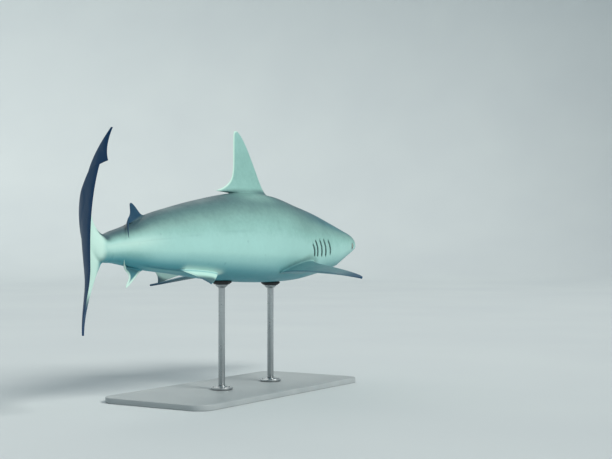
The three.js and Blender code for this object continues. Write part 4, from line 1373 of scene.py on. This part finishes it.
# %% Stand finishes
base_coat, tree = new_material("powder_coated_steel_plate")
on_plate = node(tree, "TexCoord", output="Object")
peel = node(tree, "TexNoise", {"Vector": on_plate, "Scale": per_mm(1.6), "Detail": 2.0}, "Fac")
wear = node(tree, "TexNoise", {"Vector": on_plate, "Scale": per_mm(90), "Detail": 4.0}, "Fac")
coat = {
    "Base Color": node(tree, "ValToRGB", {"Fac": wear}, stops=[(0.3, "#9ca4a7"), (0.7, "#a9b0b2")]),
    "Roughness": node(tree, "MapRange", spread(wear, 0.42, 0.55)),
    "Normal": node(tree, "Bump", {"Height": peel, "Strength": 0.3, "Distance": 0.0003}, "Normal"),
    "IOR": 1.5,
}
node(tree, "OutputMaterial", {"Surface": node(tree, "BsdfPrincipled", coat)})

brushed_steel, tree = new_material("lathe_brushed_stainless_steel")
round_axis = node(tree, "Attribute", attribute_name="turned", output="Vector")
fine = {"Vector": round_axis, "Scale": per_mm(1.1), "Detail": 4.0, "Roughness": 0.7}
scratches = node(tree, "TexNoise", fine, "Fac")
on_steel = node(tree, "TexCoord", output="Object")
smears = node(tree, "TexNoise", {"Vector": on_steel, "Scale": per_mm(40)}, "Fac")
steel = {
    "Base Color": node(tree, "ValToRGB", {"Fac": scratches}, stops=[(0.3, "#aeb3b5"), (0.7, "#c2c6c8")]),
    "Metallic": 1.0,
    "Roughness": node(tree, "MapRange", spread(smears, 0.24, 0.38)),
    "Normal": node(tree, "Bump", {"Height": scratches, "Strength": 0.12, "Distance": 0.0002}, "Normal"),
}
node(tree, "OutputMaterial", {"Surface": node(tree, "BsdfPrincipled", steel)})

pad_rubber, tree = new_material("moulded_black_rubber")
on_pad = node(tree, "TexCoord", output="Object")
grain = node(tree, "TexNoise", {"Vector": on_pad, "Scale": per_mm(1.2), "Detail": 3.0}, "Fac")
dust = node(tree, "TexNoise", {"Vector": on_pad, "Scale": per_mm(14), "Detail": 4.0}, "Fac")
rubber = {
    "Base Color": node(tree, "ValToRGB", {"Fac": dust}, stops=[(0.35, "#1b1d1f"), (0.75, "#34383a")]),
    "Roughness": 0.75,
    "Normal": node(tree, "Bump", {"Height": grain, "Strength": 0.4, "Distance": 0.0003}, "Normal"),
    "IOR": 1.52,
}
node(tree, "OutputMaterial", {"Surface": node(tree, "BsdfPrincipled", rubber)})
print("finishes:", [m.name for m in (base_coat, brushed_steel, pad_rubber)])

# %% [markdown]
# The plate starts as a cube of its own size. Its upright corners are rounded wide, all its other
# edges a little, and a shallow step runs round the top, a finger's width in from the edge.

# %% Base plate
PLATE = {"corner": 45, "step_in": 16, "step_wide": 2.5, "step_deep": 1.2, "edge": 2.5}  # mm
RIM_TURN = 1.2  # radians, which only the right-angled edges round the top and bottom exceed
nearest_corner, far_corner = (np.array(corner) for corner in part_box("stand_base"))
plate = bmesh.new()
bmesh.ops.create_cube(plate, size=1)
bmesh.ops.scale(plate, vec=far_corner - nearest_corner, verts=plate.verts)
upright = [e for e in plate.edges if abs(e.verts[0].co.z - e.verts[1].co.z) > 0.001]
round_over(plate, upright, PLATE["corner"], 14)
plate_top = [uppermost(plate)]
for inward, downward in ((PLATE["step_in"], 0), (PLATE["step_wide"], -PLATE["step_deep"])):
    step = {"thickness": inward / 1000, "depth": downward / 1000, "use_even_offset": True}
    bmesh.ops.inset_region(plate, faces=plate_top, **step)
soften(plate, PLATE["edge"], segments=4, angle=RIM_TURN)
bmesh.ops.recalc_face_normals(plate, faces=plate.faces)
plate_middle = (nearest_corner + far_corner) / 2
display_piece("base_plate", plate, plate_middle, base_coat, "stand_base", "stand_base")
print("base plate", (1000 * (far_corner - nearest_corner)).round(), "mm")

# %% [markdown]
# A flange is held down by four socket screws. A screw's head is turned, and its socket is the top
# face, inset, pulled onto a hexagon and sunk: each vertex of the rim keeps its angle and takes the
# distance that a hexagon has there.

# %% Socket screws
SCREW = {"radius": 4.2, "height": 2.2, "edge": 0.5, "socket": 2.3, "socket_deep": 1.6, "sides": 24}  # mm
SIXTH = math.pi / 3


def socket_screw():
    """A round head with a hexagonal socket."""
    r, h = SCREW["radius"], SCREW["height"]
    bm = turned([(0, 0), (r, 0), (r, h), (0, h)], SCREW["sides"])
    soften(bm, SCREW["edge"])
    bmesh.ops.dissolve_faces(bm, faces=[face for face in bm.faces if face.normal.z > 0.99])
    socket = [uppermost(bm)]
    bmesh.ops.inset_region(bm, faces=socket, thickness=(r - SCREW["edge"] - SCREW["socket"]) / 1000)
    for vert in socket[0].verts:
        angle = math.atan2(vert.co.y, vert.co.x) % SIXTH - SIXTH / 2
        wall = SCREW["socket"] / 1000 * math.cos(SIXTH / 2) / math.cos(angle)
        wide = wall / math.hypot(vert.co.x, vert.co.y)
        vert.co.x, vert.co.y = vert.co.x * wide, vert.co.y * wide
    sunk = bmesh.ops.extrude_discrete_faces(bm, faces=socket)["faces"]
    bmesh.ops.translate(bm, vec=(0, 0, -SCREW["socket_deep"] / 1000), verts=sunk[0].verts)
    return bm


trial_screw = socket_screw()
print("a screw has", len(trial_screw.faces), "faces")
trial_screw.free()

# %% [markdown]
# Each rod stands in a flange with a short neck. Its upper end carries a cupped collar, and the pad
# sits on that. The top of a pad follows the belly, whose level is known for every point from the
# outline of the body, so the pad is turned flat first and its upper part is then lifted.

# %% Rods, flanges and pads
FLANGE = {"radius": 30, "height": 9, "rim": 5, "neck": 15, "screws": 4, "screw_circle": 22}  # mm
ROD_RADIUS = 9  # mm
COLLAR = {"radius": 17, "height": 9}  # mm
PAD = {"radius": 27, "foot": 20, "clear": 0.5, "stiff": 4, "over": 3}  # mm
SEATS = {"front": 0.285, "rear": 0.435}  # cross-sections of the trunk that rest on the pads


def belly_level(x, y, at):
    """Height of the underside in metres, near a cross-section of the straight trunk."""
    here = pose([(at, 0, 0)])[0]
    out = np.abs(y - here[1]) / TOTAL_LENGTH / half_width_at(at)
    reach = (1 - out**BELLY_SQUARENESS) ** (1 / BELLY_SQUARENESS)
    along = at - (x - here[0]) / TOTAL_LENGTH
    level = widest_at(along) - (widest_at(along) - belly_at(along)) * reach
    return level * TOTAL_LENGTH + AXIS_HEIGHT


def screwed_flange():
    r, h, rim, neck = FLANGE["radius"], FLANGE["height"], FLANGE["rim"], FLANGE["neck"]
    foot = [(0, 0), (r, 0), (r, rim), (neck + 3, rim + 0.4)]
    bm = turned(foot + [(neck, 7), (neck - 1, h), (ROD_RADIUS, h), (0, h)])
    soften(bm, 0.6)
    for i in range(FLANGE["screws"]):
        turn = (i + 0.5) * 2 * math.pi / FLANGE["screws"]
        screw = socket_screw()
        spot = Vector((math.cos(turn), math.sin(turn), 0)) * FLANGE["screw_circle"] / 1000
        spot.z = rim / 1000
        bmesh.ops.translate(screw, vec=spot, verts=screw.verts)
        join(bm, screw)
    return bm


def collared_rod(length):
    """The length is in mm, from the flange to the pad, with the cupped collar at the top."""
    r, up = COLLAR["radius"], length - COLLAR["height"]
    cup = [(11, up + 1), (r - 1, length - 4), (r, length - 3), (r, length), (0, length)]
    bm = turned([(0, 0), (ROD_RADIUS, 0), (ROD_RADIUS, up)] + cup)
    soften(bm, 0.5)
    return bm


def belly_pad(x, y, seat, at, top):
    """A pad with its top at this many mm in the middle, lifted to follow the belly. The seat is not used."""
    w, foot = PAD["radius"], PAD["foot"]
    side = [(0, 0), (foot, 0), (foot + 1.5, 1), (w, 5), (w, top - 1), (w - 1, top)]
    bm = turned(side + [(w * share, top) for share in (0.8, 0.6, 0.4, 0.2, 0)])
    points = read(bm)
    lifted = belly_level(x + points[:, 0], y + points[:, 1], at) - belly_level(x, y, at)
    points[:, 2] += lifted * ease((points[:, 2] * 1000 - PAD["stiff"]) / PAD["over"])
    write(bm, points)
    return bm


for word, at_seat in SEATS.items():
    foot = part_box("stand_flange_" + word)
    x, y = ((foot[0][i] + foot[1][i]) / 2 for i in (0, 1))
    steel_piece = (brushed_steel, "stand_steel")
    flange = screwed_flange()
    display_piece("flange_" + word, flange, (x, y, foot[0][2]), *steel_piece, "stand_flange_" + word)

    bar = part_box("stand_rod_" + word)
    length = 1000 * (bar[1][2] - bar[0][2])
    rod = collared_rod(length)
    display_piece("rod_" + word, rod, (x, y, bar[0][2]), *steel_piece, "stand_rod_" + word)

    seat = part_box("stand_pad_" + word)[0][2]
    thick = 1000 * (float(belly_level(x, y, at_seat)) - seat) - PAD["clear"]
    pad = belly_pad(x, y, seat, at_seat, thick)
    display_piece("pad_" + word, pad, (x, y, seat), pad_rubber, "stand_pad", "stand_pad_" + word)
    print(word, "rod", round(length), "mm, pad", round(thick, 1), "mm thick")

# %% [markdown]
# ## The studio
# A photographer would stand the model in a cove: a pale floor that curves up into a wall, so that
# no edge shows behind it. Here the cove goes all the way round, because the model is looked at
# from every side. It is one more turned piece, painted in matt emulsion with faint wide stains.

# %% Cove
COVE = {"flat": 9000, "curve": 3500, "wall": 3000, "stains": 900}  # mm
COVE_STEPS = 17
floor_paint, tree = new_material("matt_emulsion_floor")
on_floor = node(tree, "TexCoord", output="Object")
stains = node(tree, "TexNoise", {"Vector": on_floor, "Scale": per_mm(COVE["stains"]), "Detail": 2.0}, "Fac")
emulsion = node(tree, "ValToRGB", {"Fac": stains}, stops=[(0.3, "#ccd3d6"), (0.7, "#d0d7d9")])
matt = node(tree, "BsdfPrincipled", {"Base Color": emulsion, "Roughness": 0.9})
node(tree, "OutputMaterial", {"Surface": matt})

turns_up = np.linspace(0, math.pi / 2, COVE_STEPS)
curve = [(COVE["flat"] + COVE["curve"] * math.sin(a), COVE["curve"] * (1 - math.cos(a))) for a in turns_up]
wall_foot = curve[-1]
cove_bm = turned([(0, 0)] + curve + [(wall_foot[0], wall_foot[1] + COVE["wall"])], 96)
for face in cove_bm.faces:
    face.smooth = True
cove = to_object("studio_cove", cove_bm)
cove.data.materials.append(floor_paint)
print("cove", 2 * wall_foot[0] / 1000, "m across")

# %% [markdown]
# The main light is a large soft window high on the right, a weaker one stands opposite, so that no
# side is left in the dark, and an even sky does the rest. Each window is a sun lamp with a wide
# angle: its shadows have a soft edge, and it is as bright at the tail as at the snout.

# %% Light
VIEW = Vector((0.8492, 0.5280, 0.0087)).normalized()  # the way the camera looks
RIGHT = VIEW.cross(Vector((0, 0, 1))).normalized()
SKY = {"colour": "#d3e2ea", "strength": 0.42}
WINDOWS = {  # strength, angle across in degrees, and where it stands
    "window": (2.4, 24, RIGHT * 0.95 - VIEW * 0.7 + Vector((0, 0, 0.95))),
    "far_window": (0.9, 60, VIEW * 0.9 - RIGHT * 0.5 + Vector((0, 0, 0.7))),
}
world = bpy.data.worlds.new("studio")
bpy.context.scene.world = world
world.use_nodes = True
sky = world.node_tree.nodes["Background"]
sky.inputs["Color"].default_value = linear(SKY["colour"])
sky.inputs["Strength"].default_value = SKY["strength"]
for name, (strength, across_degrees, towards) in WINDOWS.items():
    lamp = bpy.data.lights.new(name, "SUN")
    lamp.energy = strength
    lamp.angle = math.radians(across_degrees)
    lamp.color = linear("#fffdf6")[:3]
    window = bpy.data.objects.new(name, lamp)
    window.rotation_mode = "QUATERNION"
    window.rotation_quaternion = (-towards).to_track_quat("-Z", "Y")
    bpy.context.scene.collection.objects.link(window)
print("lights:", len(bpy.data.lights), "and the sky")

# %% [markdown]
# The camera stands level with the body, behind the shark and to its right, about 3.4 metres from
# the middle of the model, and looks almost level. The Standard view transform shows the paints in
# the colours that were chosen for them, where a filmic one would mute them.

# %% Camera
CAMERA = {"place": (-2.838, -1.985, 0.420), "sensor": 36, "lens": 73.16}  # metres, mm, mm
camera_data = bpy.data.cameras.new("camera")
camera_data.sensor_width = CAMERA["sensor"]
camera_data.lens = CAMERA["lens"]
camera = bpy.data.objects.new("camera", camera_data)
camera.location = CAMERA["place"]
camera.rotation_mode = "QUATERNION"
camera.rotation_quaternion = VIEW.to_track_quat("-Z", "Y")
bpy.context.scene.collection.objects.link(camera)
bpy.context.scene.camera = camera
bpy.context.scene.view_settings.view_transform = "Standard"
print("camera", round(math.degrees(math.asin(VIEW.z)), 1), "degrees up")
